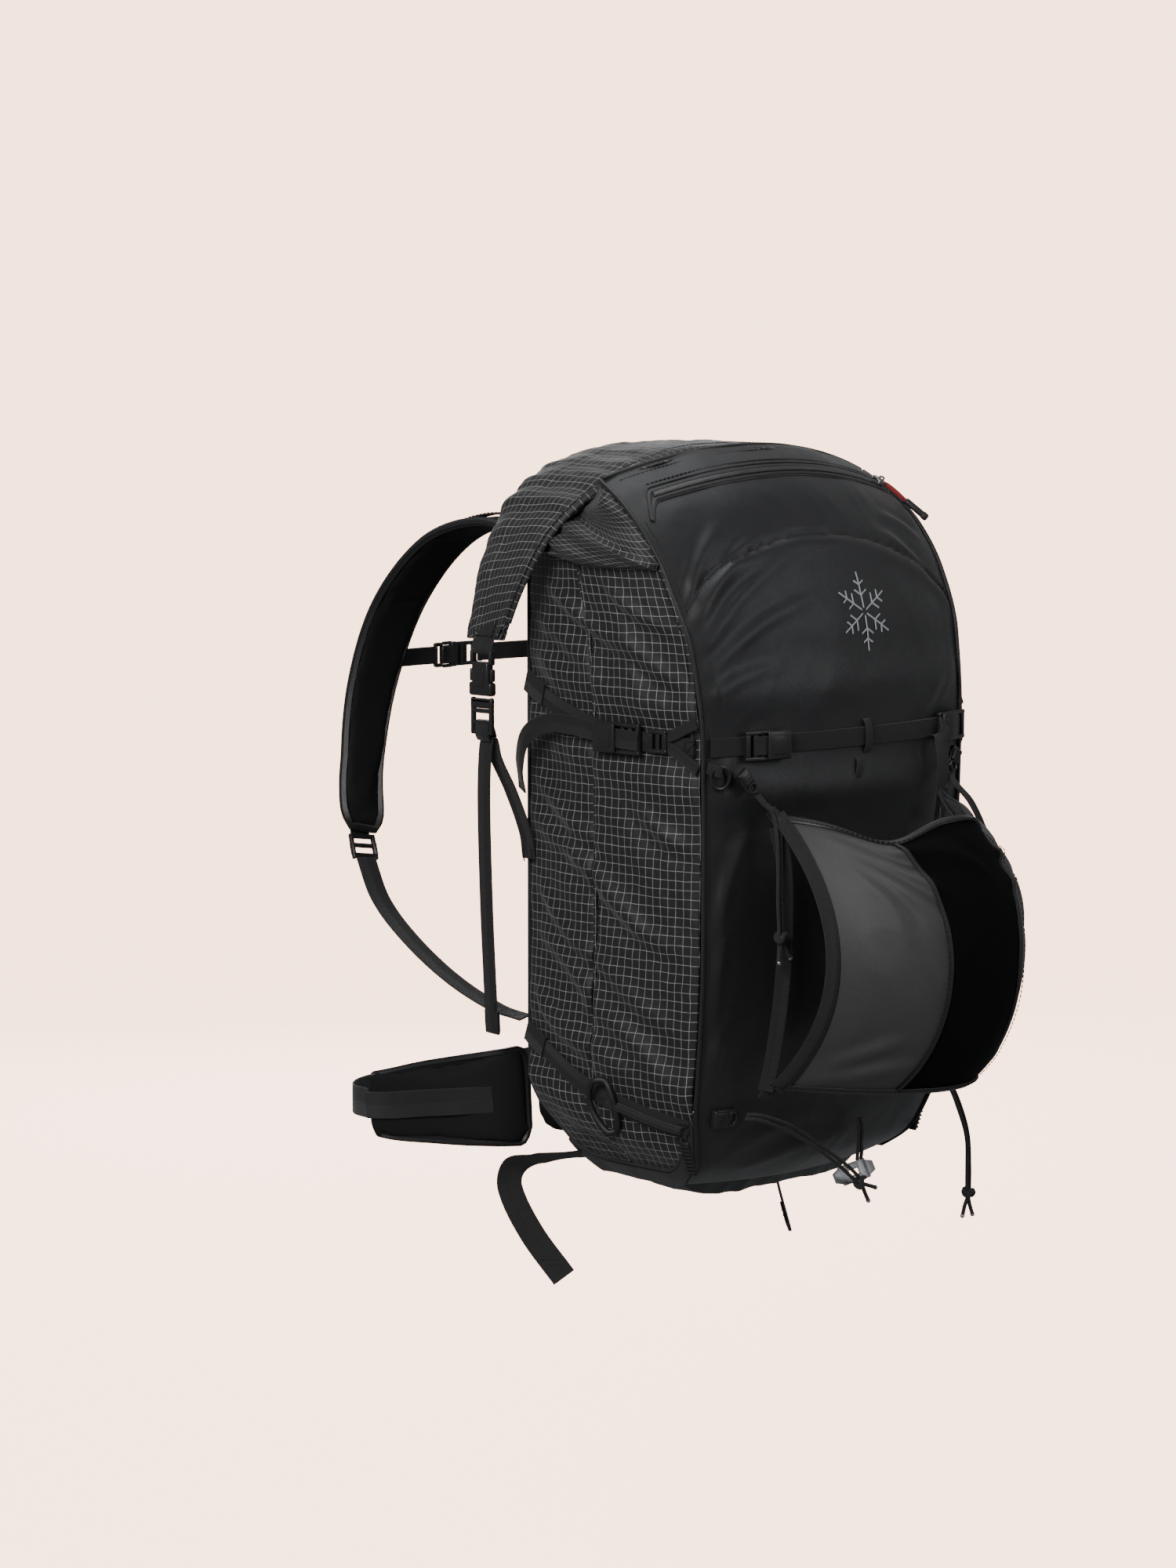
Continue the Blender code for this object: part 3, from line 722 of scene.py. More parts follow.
def sweep(bm: bmesh.types.BMesh, centres: np.ndarray, across: np.ndarray, section: Section,
          closed: bool = False) -> None:
    """Sweeps a section along a row of points, into a bmesh.

    Args:
        bm: where the faces go.
        centres: the row of points.
        across: rough direction of the section's first axis, one for all or one for each point.
        section: the outline at each share of the way.
        closed: joins the last point to the first.
    """
    count = len(centres)
    across = np.broadcast_to(np.asarray(across, float), centres.shape)
    ways = unit(np.roll(centres, -1, axis=0) - np.roll(centres, 1, axis=0)) if closed else unit(
        np.gradient(centres, axis=0))
    sides = unit(across - (across * ways).sum(axis=1, keepdims=True) * ways)
    ups = np.cross(sides, ways)
    steps = lengths(centres)
    rings = [section(i / (count - 1)) for i in range(count)]
    around = len(rings[0])
    cloth = bm.loops.layers.uv.get("cloth") or bm.loops.layers.uv.new("cloth")
    made = bmesh.ops.create_grid(bm, x_segments=count if closed else count - 1, y_segments=around, size=0.5)
    columns = count if closed else count - 1
    index = {vert: (round((vert.co.x + 0.5) * columns), round((vert.co.y + 0.5) * around))
             for vert in made["verts"]}
    girth = [np.concatenate([[0.0], np.cumsum(np.linalg.norm(np.roll(r, -1, axis=0) - r,
                                                             axis=1))]) for r in rings]
    for face in {face for vert in made["verts"] for face in vert.link_faces}:
        for loop in face.loops:
            i, j = index[loop.vert]
            length = steps[-1] * i / columns if closed else steps[i]
            wide = rings[i % count][j % around][0] if around == 10 else girth[i % count][j]
            loop[cloth].uv = (length, wide)
    for vert, (i, j) in index.items():
        a, b = rings[i % count][j % around]
        vert.co = centres[i % count] + sides[i % count] * a + ups[i % count] * b
    bmesh.ops.remove_doubles(bm, verts=made["verts"], dist=1e-7)
    if not closed:
        rims = [edge for edge in bm.edges if edge.is_boundary]
        bmesh.ops.holes_fill(bm, edges=rims)
    bmesh.ops.recalc_face_normals(bm, faces=bm.faces)


def swept_object(name: str, centres: np.ndarray, across: Sequence[float], section: Section, finish: Finish,
                 closed: bool = False) -> bpy.types.Object:
    """An object swept along a row of points; its arguments are those of sweep."""
    bm = bmesh.new()
    sweep(bm, centres, np.asarray(across, float), section, closed)
    return mesh_object(name, bm, finish)


def swept_piece(name: str, centres: np.ndarray, across: Sequence[float], section: Section, finish: Finish,
                body: str, slot: str, *nodes: str) -> bpy.types.Object:
    """A swept object on its body; its arguments are those of sweep and settle."""
    return settle(swept_object(name, centres, across, section, finish), body, slot, *nodes)


def frame_at(place: Sequence[float], along: Sequence[float], normal: Sequence[float]) -> Matrix:
    """Matrix with X along and Z on the normal, at the place."""
    x = Vector(along).normalized()
    z = Vector(normal)
    z = (z - z.dot(x) * x).normalized()
    matrix = Matrix((x, z.cross(x), z)).transposed().to_4x4()
    matrix.translation = Vector(place)
    return matrix


def hand_name(hand: int, name: str) -> str:
    """A piece's name on the left or right side."""
    return ("left_" if hand < 0 else "right_") + name


def handed(hand: int, places: Sequence) -> list:
    """Places given for the right side, on the side of hand."""
    return [(p[0] * hand, p[1], p[2]) for p in places]


class Workbench:
    """Builds one hard piece from bars, rods and turned forms, then puts it in place."""

    def __init__(self) -> None:
        """Starts with an empty shape."""
        self.bm = bmesh.new()

    def bar(self, size: Sequence[float], place: Sequence[float], bevel: float = 0.0007) -> "Workbench":
        """Adds a box with rounded edges.

        Args:
            size: its sides.
            place: its middle.
            bevel: edge radius.
        Returns:
            The bench, for the next call.
        """
        made = bmesh.ops.create_cube(self.bm, size=1.0)["verts"]
        bmesh.ops.scale(self.bm, vec=size, verts=made)
        edges = list({edge for vert in made for edge in vert.link_edges})
        rounded = bmesh.ops.bevel(self.bm, geom=edges, offset=min(bevel, 0.45 * min(size)), segments=3,
                                  profile=0.5,
                                  affect="EDGES", material=-1)
        verts = list({vert for face in rounded["faces"] for vert in face.verts})
        bmesh.ops.translate(self.bm, vec=place, verts=verts)
        return self

    def rod(self, points: Sequence, radius: float, closed: bool = False, count: int = 24) -> "Workbench":
        """Adds a round rod along a smooth route; its arguments are those of sweep."""
        row = smooth_route(points, count)
        if closed:
            row = row[:-1]
        spread = np.ptp(row, axis=0)
        across = np.zeros(3)
        across[int(np.argmin(spread))] = 1.0
        sweep(self.bm, row, across, round_section(radius), closed)
        return self

    def ball(self, radius: float, place: Sequence[float], squash: Sequence[float] = (1, 1, 1)) -> "Workbench":
        """Adds a round lump.

        Args:
            radius: its radius.
            place: its middle.
            squash: its scale along each axis.
        Returns:
            The bench, for the next call.
        """
        made = bmesh.ops.create_uvsphere(self.bm, u_segments=12, v_segments=8, radius=radius)["verts"]
        bmesh.ops.scale(self.bm, vec=squash, verts=made)
        bmesh.ops.translate(self.bm, vec=place, verts=made)
        return self

    def finish(self, name: str, matrix: Matrix, finish: Finish) -> bpy.types.Object:
        """Puts the shape in place as an object.

        Args:
            name: the object's name.
            matrix: its place.
            finish: its finish.
        Returns:
            The object.
        """
        bmesh.ops.transform(self.bm, matrix=matrix, verts=self.bm.verts)
        return mesh_object(name, self.bm, finish)


def stitches(bm: bmesh.types.BMesh, row: np.ndarray, normals: np.ndarray, length: float = 0.0028,
             gap: float = 0.0012, radius: float = 0.00028) -> None:
    """Adds a row of short raised stitches.

    Args:
        bm: where the faces go.
        row: the sewing line.
        normals: outward direction at each of its points.
        length: one stitch.
        gap: space between stitches.
        radius: thread radius.
    """
    keys = lengths(row)
    start = gap
    while start + length < keys[-1]:
        ends = [np.array([np.interp(x, keys, row[:, a]) for a in range(3)])
                for x in (start, start + length)]
        out = unit(np.array([np.interp(start, keys, normals[:, a]) for a in range(3)]))
        matrix = frame_at((ends[0] + ends[1]) / 2 + out * radius * 0.3, ends[1] - ends[0], out)
        made = bmesh.ops.create_cube(bm, size=1.0)["verts"]
        bmesh.ops.scale(bm, vec=(length, radius * 2, radius * 2), verts=made)
        for vert in made:
            if abs(vert.co.x) > 0:
                vert.co.z -= radius * 0.8 if vert.co.z < 0 else 0.0
        bmesh.ops.transform(bm, matrix=matrix, verts=made)
        start += length + gap


# ---------------------------------------------------------------- studio

@dataclass
class Studio:
    """Camera, floor, backdrop and soft lights."""

    right: Vector = field(default_factory=lambda: Vector((0.719, -0.695, 0.0)).normalized())
    elevation: float = 6.5
    distance: float = 3.2
    lens: float = 92.2
    centre: Vector = field(default_factory=lambda: Vector((0.0, -0.12, 0.18)))
    shift: tuple[float, float] = (-0.119, 0.025)
    floor_height: float = -0.6
    glow: float = 5.0

    def camera(self) -> None:
        """Adds the camera and makes it the scene's own."""
        tilt = math.radians(self.elevation)
        level = self.right.cross(Vector((0, 0, 1)))
        back = (level * math.cos(tilt) + Vector((0, 0, math.sin(tilt)))).normalized()
        if back.y > 0:
            back.x, back.y = -back.x, -back.y
        up = back.cross(self.right)
        aim = self.centre + self.right * self.shift[0] + up * self.shift[1]
        lens = bpy.data.cameras.new("camera")
        lens.lens = self.lens
        lens.clip_start, lens.clip_end = 0.1, 60.0
        ob = bpy.data.objects.new("camera", lens)
        matrix = Matrix((self.right, up, back)).transposed().to_4x4()
        matrix.translation = aim + back * self.distance
        ob.matrix_world = matrix
        bpy.context.scene.collection.objects.link(ob)
        bpy.context.scene.camera = ob

    def lamp(self, name: str, place: Sequence[float], size: float, power: float, tint: Colour) -> None:
        """Adds a square soft box aimed at the bag.

        Args:
            name: its name.
            place: where it stands.
            size: its side.
            power: watts.
            tint: its colour.
        """
        light = bpy.data.lights.new(name, "AREA")
        light.size, light.energy, light.color = size, power, tint
        ob = bpy.data.objects.new(name, light)
        ob.location = place
        ob.rotation_euler = (self.centre - Vector(place)).to_track_quat("-Z", "Y").to_euler()
        bpy.context.scene.collection.objects.link(ob)

    def build(self) -> None:
        """Makes the whole set."""
        self.camera()
        self.lamp("key", (-2.5, -1.1, 1.6), 1.3, 66.0, (1.0, 0.98, 0.96))
        self.lamp("front", (1.1, -3.0, 1.5), 1.5, 18.0, (0.97, 0.98, 1.0))
        self.lamp("top", (0.3, 0.4, 2.7), 1.8, 22.0, (0.98, 0.99, 1.0))
        self.lamp("rear", (1.9, 2.6, 0.8), 1.6, 34.0, (1.0, 0.99, 0.98))
        world = bpy.data.worlds.new("room")
        world.use_nodes = True
        sky = world.node_tree.nodes["Background"]
        sky.inputs["Color"].default_value = (0.95, 0.97, 1.0, 1.0)
        sky.inputs["Strength"].default_value = 0.2
        bpy.context.scene.world = world
        paper = Backdrop("paper").get()
        shader = paper.node_tree.nodes["Principled BSDF"]
        shader.inputs["Emission Color"].default_value = (1.0, 0.62, 0.44, 1.0)
        shader.inputs["Emission Strength"].default_value = self.glow
        bm = bmesh.new()
        bmesh.ops.create_uvsphere(bm, u_segments=96, v_segments=48, radius=9.0)
        for vert in bm.verts:
            vert.co.z = max(vert.co.z, self.floor_height)
        bmesh.ops.reverse_faces(bm, faces=bm.faces)
        ob = mesh_object("paper_sweep", bm, Backdrop("paper"))
        ob.visible_diffuse = ob.visible_glossy = ob.visible_shadow = False


# ---------------------------------------------------------------- the bag's surfaces

STATIONS = (
    (-0.11, 0.16, 0.095, 0.01, -0.006, 0.1),
    (-0.098, 0.187, 0.113, 0.013, -0.004, 0.085),
    (-0.07, 0.215, 0.127, 0.016, 0.0, 0.06),
    (-0.02, 0.23, 0.14, 0.018, 0.0, 0.022),
    (0.1, 0.24, 0.143, 0.018, 0.0, 0.022),
    (0.25, 0.242, 0.146, 0.018, 0.0, 0.022),
    (0.33, 0.236, 0.15, 0.02, 0.006, 0.022),
    (0.39, 0.217, 0.154, 0.022, 0.014, 0.022),
    (0.43, 0.193, 0.154, 0.022, 0.02, 0.022),
    (0.458, 0.163, 0.152, 0.02, 0.024, 0.022),
    (0.476, 0.128, 0.148, 0.016, 0.024, 0.022),
)
PANEL_BOTTOM = -0.098
PANEL_TOP = 0.474
SIDE_TOP = 0.425
STRAP_WIDTH = 0.015
WIDE_STRAP = 0.02
CORD = 0.003
STRAP_LIFT = 0.0028
STRAP_LEVEL = 0.252
FRONT_HALF = 0.15

Surface = Callable[[np.ndarray, np.ndarray], np.ndarray]
Lift = Callable[[np.ndarray, np.ndarray, np.ndarray], np.ndarray]


class BagShape:
    """The bag's outer surfaces, through its stations from the base up."""

    def station(self, t: np.ndarray) -> list[np.ndarray]:
        """Front depth, half width, seam setback, seam drop and back depth at each height."""
        keys = [row[0] for row in STATIONS]
        return [hermite(keys, [row[i] for row in STATIONS], t, level=True) for i in range(1, 6)]

    def front(self, s: np.ndarray, t: np.ndarray) -> np.ndarray:
        """Places on the front, s from -1 at the left seam to 1."""
        depth, half, back, drop, _ = self.station(t)
        return np.stack([s * half, -(depth - back * s * s), t - drop * s * s], axis=-1)

    def side(self, hand: int) -> Surface:
        """The side's surface, from 0 at the front seam to 1 at the back."""
        def place(v: np.ndarray, t: np.ndarray) -> np.ndarray:
            """Places on the side."""
            depth, half, back, drop, rear = self.station(t)
            fade = np.clip((t - PANEL_BOTTOM) / 0.08, 0.0, 1.0)
            wide = half * (1 - v) + np.minimum(half, 0.135) * v + 0.012 * fade * np.sin(math.pi * v)
            return np.stack([hand * wide, -((depth - back) * (1 - v) + rear * v), t - drop], axis=-1)
        return place

    def frame(self, surface: Surface, a: float, b: float, outward: Sequence[float], lift: float) -> Matrix:
        """Matrix on a surface.

        Args:
            surface: the surface.
            a: its first parameter.
            b: its second parameter.
            outward: rough outward direction.
            lift: metres above it.
        Returns:
            X along growing a, Z out along the normal.
        """
        at = np.array([[a, b], [a + 0.002, b], [a - 0.002, b], [a, b + 0.002], [a, b - 0.002]])
        p, a1, a0, b1, b0 = surface(at[:, 0], at[:, 1])
        along, normal = Vector(a1 - a0), Vector(np.cross(a1 - a0, b1 - b0)).normalized()
        if normal.dot(Vector(outward)) < 0:
            normal = -normal
        return frame_at(Vector(p) + normal * lift, along, normal)

    def front_frame(self, s: float, t: float, lift: float = 0.0) -> Matrix:
        """Matrix on the front."""
        return self.frame(self.front, s, t, (0, -1, 0), lift)

    def side_frame(self, hand: int, v: float, t: float, lift: float = 0.0) -> Matrix:
        """Matrix on a side."""
        return self.frame(self.side(hand), v, t, (hand, 0, 0), lift)

    def front_row(self, stops: Sequence) -> list[Vector]:
        """Places over the front, from stops of two parameters and a lift."""
        return [self.front_frame(*stop).translation for stop in stops]

    def side_row(self, hand: int, stops: Sequence) -> list[Vector]:
        """Places over a side, from stops of two parameters and a lift."""
        return [self.side_frame(hand, *stop).translation for stop in stops]


SHAPE = BagShape()


def outward_normals(points: np.ndarray, outward: Sequence[float]) -> np.ndarray:
    """Normals of a grid of points, towards outward."""
    normals = unit(np.cross(np.gradient(points, axis=1), np.gradient(points, axis=0)))
    if (normals @ np.asarray(outward, float)).mean() < 0:
        normals = -normals
    return normals


def panel(name: str, surface: Surface, a: tuple[float, float], b: tuple[float, float],
          counts: tuple[int, int],
          lift: Lift, finish: Finish, outward: Sequence[float],
          thickness: float = 0.0008) -> bpy.types.Object:
    """A cloth panel over a surface, raised by its folds.

    Args:
        name: the object's name.
        surface: places for two parameters.
        a: range of the first parameter.
        b: range of the second parameter.
        counts: faces along each.
        lift: metres outwards at each place of the flat cloth and its parameters.
        finish: its finish.
        outward: rough outward direction.
        thickness: its wall.
    Returns:
        The object.
    """
    first, second = np.meshgrid(np.linspace(*a, counts[0] + 1), np.linspace(*b, counts[1] + 1))
    points = surface(first, second)
    normals = outward_normals(points, outward)
    across = np.linalg.norm(np.diff(points, axis=1), axis=-1)
    across = np.concatenate([np.zeros((len(points), 1)), np.cumsum(across, axis=1)], axis=1)
    across -= across[:, across.shape[1] // 2][:, None]
    middle = points[:, points.shape[1] // 2]
    along = lengths(middle)
    flat = np.stack([across, np.broadcast_to(along[:, None], across.shape)], axis=-1)
    points = points + normals * lift(flat, first, second)[..., None]
    return grid_object(name, points, flat, finish, outward, thickness)


def crumple(flat: np.ndarray, seed: float, scale: tuple[float, float], depth: float) -> np.ndarray:
    """Soft ridged creases.

    Args:
        flat: places on the flat cloth.
        seed: shifts the pattern.
        scale: frequency across and along the cloth.
        depth: height of the tallest crease.
    Returns:
        The lift at each place.
    """
    at = np.concatenate([flat, np.zeros(flat.shape[:-1] + (1,))], axis=-1)
    warp = field_noise(at, (9.0, 7.0, 1.0), seed) * 0.03
    at = at + np.stack([warp, -warp, warp * 0], axis=-1)
    broad = field_noise(at, (*scale, 1.0), seed + 3.1)
    fine = field_noise(at, (2.3 * scale[0], 2.3 * scale[1], 1.0), seed + 5.7)
    ridges = 1.0 - 2.2 * np.abs(broad)
    return depth * (0.62 * ridges + 0.28 * (1.0 - 2.2 * np.abs(fine)))


def valley(distance: np.ndarray, width: float, depth: float) -> np.ndarray:
    """Depth of a sewn line at a distance from it."""
    return -depth * bell(distance, width)


def edge_fade(x: np.ndarray, low: float, high: float, width: float) -> np.ndarray:
    """0 at both ends of a range and 1 inside it."""
    return np.clip((x - low) / width, 0, 1) * np.clip((high - x) / width, 0, 1)


@dataclass
class BagBody:
    """Front, side, base and back panels with their seams and sewing."""

    pocket_arc: tuple = ((-1.0, 0.358), (-0.8, 0.386), (-0.35, 0.405), (0.0, 0.407), (0.35, 0.402),
                         (0.66, 0.391), (0.87, 0.374), (1.0, 0.356))
    mid_seam: float = 0.545
    base_height: float = -0.11
    folds: tuple[Fold, ...] = (
        Fold((-0.155, 0.445), (-0.06, 0.535), 0.0055, 0.0024),
        Fold((-0.155, 0.462), (-0.095, 0.548), 0.005, 0.0022),
        Fold((-0.155, 0.43), (-0.035, 0.512), 0.0055, 0.0022),
        Fold((-0.152, 0.415), (-0.02, 0.476), 0.0055, 0.002),
        Fold((-0.15, 0.398), (-0.07, 0.425), 0.0055, 0.0016),
        Fold((-0.147, 0.33), (-0.085, 0.378), 0.006, 0.0016),
        Fold((0.06, 0.53), (0.125, 0.492), 0.006, 0.0022),
        Fold((0.08, 0.545), (0.138, 0.525), 0.005, 0.002),
        Fold((-0.136, 0.18), (-0.108, 0.3), 0.007, 0.0026),
        Fold((-0.136, 0.06), (-0.116, 0.165), 0.007, 0.0026),
        Fold((-0.128, 0.11), (-0.12, 0.24), 0.006, 0.0022),
        Fold((0.045, 0.09), (0.125, 0.06), 0.007, 0.0022),
        Fold((-0.11, 0.04), (-0.02, 0.07), 0.007, 0.0022),
        Fold((-0.09, 0.022), (0.04, 0.046), 0.007, 0.002),
        Fold((0.08, 0.14), (0.138, 0.2), 0.007, 0.0024),
        Fold((0.085, 0.33), (0.14, 0.42), 0.007, 0.0022),
    )
    side_folds: tuple[Fold, ...] = (
        Fold((0.195, 0.225), (0.085, 0.165), 0.0078, 0.0036, 0.05),
        Fold((0.192, 0.185), (0.05, 0.105), 0.0088, 0.0042, -0.06),
        Fold((0.19, 0.145), (0.07, 0.068), 0.007, 0.003, 0.09),
        Fold((0.12, 0.15), (0.012, 0.09), 0.0078, 0.0038, 0.05),
        Fold((0.185, 0.1), (0.095, 0.035), 0.0088, 0.0036, -0.06),
        Fold((0.19, 0.06), (0.11, 0.005), 0.007, 0.0042, 0.09),
        Fold((0.1, 0.08), (0.008, 0.028), 0.0078, 0.003, 0.05),
        Fold((0.12, 0.045), (0.02, -0.012), 0.0088, 0.0038, -0.06),
        Fold((0.07, 0.215), (0.006, 0.172), 0.007, 0.0036, 0.09),
        Fold((0.165, 0.39), (0.05, 0.325), 0.0078, 0.0042, 0.05),
        Fold((0.192, 0.355), (0.095, 0.298), 0.0088, 0.003, -0.06),
        Fold((0.085, 0.405), (0.01, 0.345), 0.007, 0.0038, 0.09),
        Fold((0.075, 0.35), (0.008, 0.298), 0.0078, 0.0036, 0.05),
        Fold((0.17, -0.05), (0.075, -0.08), 0.0088, 0.0042, -0.06),
    )

    def arc_height(self, s: np.ndarray) -> np.ndarray:
        """Height of the pocket seam across the front."""
        keys, values = zip(*self.pocket_arc)
        return hermite(keys, values, s)

    def front_lift(self, flat: np.ndarray, s: np.ndarray, t: np.ndarray) -> np.ndarray:
        """Folds, seams and fullness of the front."""
        lift = sum(fold.lift(flat) for fold in self.folds)
        lift = lift + crumple(flat, 3.0, (9.0, 7.0), 0.0017) + crumple(flat, 8.0, (26.0, 22.0), 0.0007)
        strap = bell(t - STRAP_LEVEL, 0.016)
        hem = bell(t - 0.455, 0.01)
        lift = lift * (1 - 0.85 * strap) * (1 - 0.8 * hem) + 0.0014
        lift = lift + 0.0035 * bell(t - 0.215, 0.016) + 0.003 * bell(t - 0.293, 0.018)
        lift = np.clip(lift, -0.004, 0.0075)
        lift = lift * edge_fade(s, -1.0, 1.0, 0.1) * np.clip((t - PANEL_BOTTOM) / 0.02, 0, 1)
        off = t - self.arc_height(s)
        seam = valley(off, 0.0022, 0.0024) + 0.0018 * bell(off + 0.009, 0.007)
        return lift + seam * edge_fade(s, -1.0, 1.0, 0.07) + valley(t - 0.474, 0.006, 0.0008)

    def side_lift(self, hand: int) -> Lift:
        """Folds of one side, tighter under its two straps."""
        def lift(flat: np.ndarray, v: np.ndarray, t: np.ndarray) -> np.ndarray:
            """Lift at each place."""
            upper = t - (0.252 + 0.042 * v ** 1.8)
            lower = t - (-0.043 + 0.055 * v ** 1.4)
            held = np.maximum(bell(upper, 0.014), bell(lower, 0.014))
            seed = 21.0 + 9.0 * hand
            at = np.stack([v * 0.2, t], axis=-1)
            full = crumple(flat, seed, (12.0, 9.0), 0.003) + crumple(flat, seed + 4, (30.0, 22.0), 0.0009)
            full = full + sum(fold.lift(at) for fold in self.side_folds)
            full = full + 0.0032 * bell(np.abs(upper) - 0.03, 0.014)
            full = full + 0.0036 * bell(np.abs(lower) - 0.03, 0.014)
            full = full * (1 - 0.92 * held) + 0.0004
            full = np.clip(full, -0.007, 0.007)
            full = full * edge_fade(v, 0.0, 1.0, 0.04) * edge_fade(t, -0.086, 0.402, 0.03)
            return full + valley(v - self.mid_seam, 0.012, 0.002)
        return lift

    def build_front(self) -> None:
        """The big front panel and the sewing on it."""
        front = panel("front_cloth", SHAPE.front, (-1.0, 1.0), (PANEL_BOTTOM, PANEL_TOP), (120, 210),
                      self.front_lift, SHELL, (0, -1, 0), 0.0009)
        settle(front, "pack", "shell_fabric", "front_panel")
        sewing = bmesh.new()
        for shift in (0.0042, -0.0042):
            s = np.linspace(-0.97, 0.97, 90)
            self.sew(sewing, SHAPE.front, s, self.arc_height(s) + shift, 0.0012)
        for hand in HANDS:
            t = np.linspace(-0.085, 0.44, 150)
            self.sew(sewing, SHAPE.front, np.full_like(t, 0.965 * hand), t, 0.0006)
        s = np.linspace(-0.93, 0.93, 80)
        self.sew(sewing, SHAPE.front, s, np.full_like(s, 0.4695), 0.0014)
        sewn("front_sewing", sewing)
        for hand in HANDS:
            t = np.linspace(-0.094, 0.474, 130)
            rim = SHAPE.front(np.full_like(t, 1.0 * hand), t) + np.array([0.0012 * hand, -0.0012, 0.0])
            piping = swept_object(hand_name(hand, "seam_piping"), rim, (1, 0, 0),
                                  round_section(0.0017), SHELL)
            settle(piping, "pack", "shell_fabric")
        s = np.linspace(-0.985, 0.985, 90)
        top = SHAPE.front(s, np.full_like(s, 0.474)) + np.array([0.0, -0.0006, 0.0008])
        swept_piece("top_hem", top, (0, 0, 1), round_section(0.0016), SHELL, "pack", "shell_fabric")

    def sew(self, bm: bmesh.types.BMesh, surface: Surface, a: np.ndarray, b: np.ndarray, lift: float) -> None:
        """Rows stitches on a surface along two parameter rows, lifted from it."""
        row = surface(a, b)
        step = np.full_like(a, 0.003)
        out = np.cross(surface(a + step, b) - surface(a - step, b),
                       surface(a, b + step) - surface(a, b - step))
        out = unit(out)
        middle = np.array([0.0, -0.12, 0.2])
        if ((row - middle) * out).sum() < 0:
            out = -out
        stitches(bm, row + out * lift, out)

    def build_side(self, hand: int) -> None:
        """One side in two widths of grid cloth, with the seam between them."""
        surface, lift = SHAPE.side(hand), self.side_lift(hand)
        for name, reach, node in (("fore", (0.012, self.mid_seam), True),
                                  ("rear", (self.mid_seam, 1.0), False)):
            cloth = panel(hand_name(hand, "side_" + name), surface, reach, (PANEL_BOTTOM, SIDE_TOP),
                          (60, 170), lift,
                          GRID_CLOTH, (hand, 0, 0), 0.0008)
            settle(cloth, "pack", "ripstop_fabric", *((hand_name(hand, "side_panel"),) if node else ()))
        sewing = bmesh.new()
        t = np.linspace(PANEL_BOTTOM + 0.01, SIDE_TOP - 0.004, 150)
        for v in (self.mid_seam - 0.016, 0.03, 0.975):
            self.sew(sewing, surface, np.full_like(t, v), t, 0.0006)
        v = np.linspace(0.03, 0.97, 60)
        self.sew(sewing, surface, v, np.full_like(v, SIDE_TOP - 0.006), 0.0006)
        sewn(hand_name(hand, "side_sewing"), sewing)
        t = np.linspace(PANEL_BOTTOM, SIDE_TOP, 90)
        ridge = surface(np.full_like(t, self.mid_seam), t) + np.array([0.0006 * hand, 0, 0])
        swept_piece(hand_name(hand, "mid_seam"), ridge, (0, 1, 0), round_section(0.0011, 6), GRID_CLOTH,
                    "pack", "ripstop_fabric")
        rear = surface(np.full_like(t, 0.995), t)
        swept_piece(hand_name(hand, "rear_piping"), rear, (1, 0, 0), round_section(0.0022), SHELL, "pack",
                    "shell_fabric")
        v = np.linspace(0.01, 1.0, 50)
        brim = surface(v, np.full_like(v, SIDE_TOP)) + np.array([0, 0, 0.0004])
        swept_piece(hand_name(hand, "side_brim"), brim, (0, 0, 1), round_section(0.0015, 6), LINING, "pack",
                    "shell_fabric")

    def build_wrap(self, hand: int) -> None:
        """Base cloth that wraps up round the foot of a side."""
        surface = SHAPE.side(hand)

        def height(v: np.ndarray) -> np.ndarray:
            """Top of the wrap at each place from front to back."""
            return 0.014 + 0.05 * np.clip(1 - v / 0.2, 0, 1) ** 2.2 + 0.012 * np.clip((v - 0.75) / 0.25, 0,
                                                                                      1) ** 2

        def place(v: np.ndarray, share: np.ndarray) -> np.ndarray:
            """Places on the wrap."""
            return surface(v, PANEL_BOTTOM + share * height(v))

        def lift(flat: np.ndarray, v: np.ndarray, share: np.ndarray) -> np.ndarray:
            """Proud of the grid cloth, with small creases."""
            return 0.003 + np.clip(crumple(flat, 33.0 + hand, (20.0, 20.0), 0.0012), -0.001, 0.001)

        wrap = panel(hand_name(hand, "base_wrap"), place, (0.0, 1.0), (0.0, 1.0), (90, 16), lift, BASE_CLOTH,
                     (hand, 0, 0))
        settle(wrap, "pack", "shell_fabric")
        v = np.linspace(0.0, 1.0, 90)
        rim = place(v, np.ones_like(v)) + np.array([0.0032 * hand, 0.0, 0.0])
        swept_piece(hand_name(hand, "wrap_piping"), rim, (hand, 0, 0), round_section(0.0012), BASE_CLOTH,
                    "pack", "shell_fabric")

    def base_place(self, u: np.ndarray, v: np.ndarray) -> np.ndarray:
        """Places on the base, from the front edge at v 0 to the back at v 1."""
        inset = 0.0035
        depth0, half0, back0, _, low_rear = (float(x) for x in SHAPE.station(np.array(PANEL_BOTTOM)))
        half1, high_rear = (float(SHAPE.station(np.array(-0.07))[i]) for i in (1, 4))
        rim = PANEL_BOTTOM + 0.008
        keys = (0.0, 0.18, 0.4, 0.68, 0.84, 1.0)
        depth = np.interp(v, keys, (depth0 - inset, 0.166, 0.146, 0.112, low_rear + 0.006, high_rear + inset))
        z = np.interp(v, keys, (rim, self.base_height, self.base_height, self.base_height, -0.1, -0.072))
        back = np.clip((v - 0.84) / 0.16, 0.0, 1.0)
        half = half0 + (half1 - half0) * back - inset
        side = 2 * u - 1
        edge = np.clip((np.abs(side) - 0.6) / 0.4, 0.0, None) ** 2
        brim = rim + (-0.07 - rim) * back
        depth = depth - back0 * side * side * np.clip(1 - v / 0.5, 0, None)
        return np.stack([side * half, -depth, z + (brim - z) * edge], axis=-1)

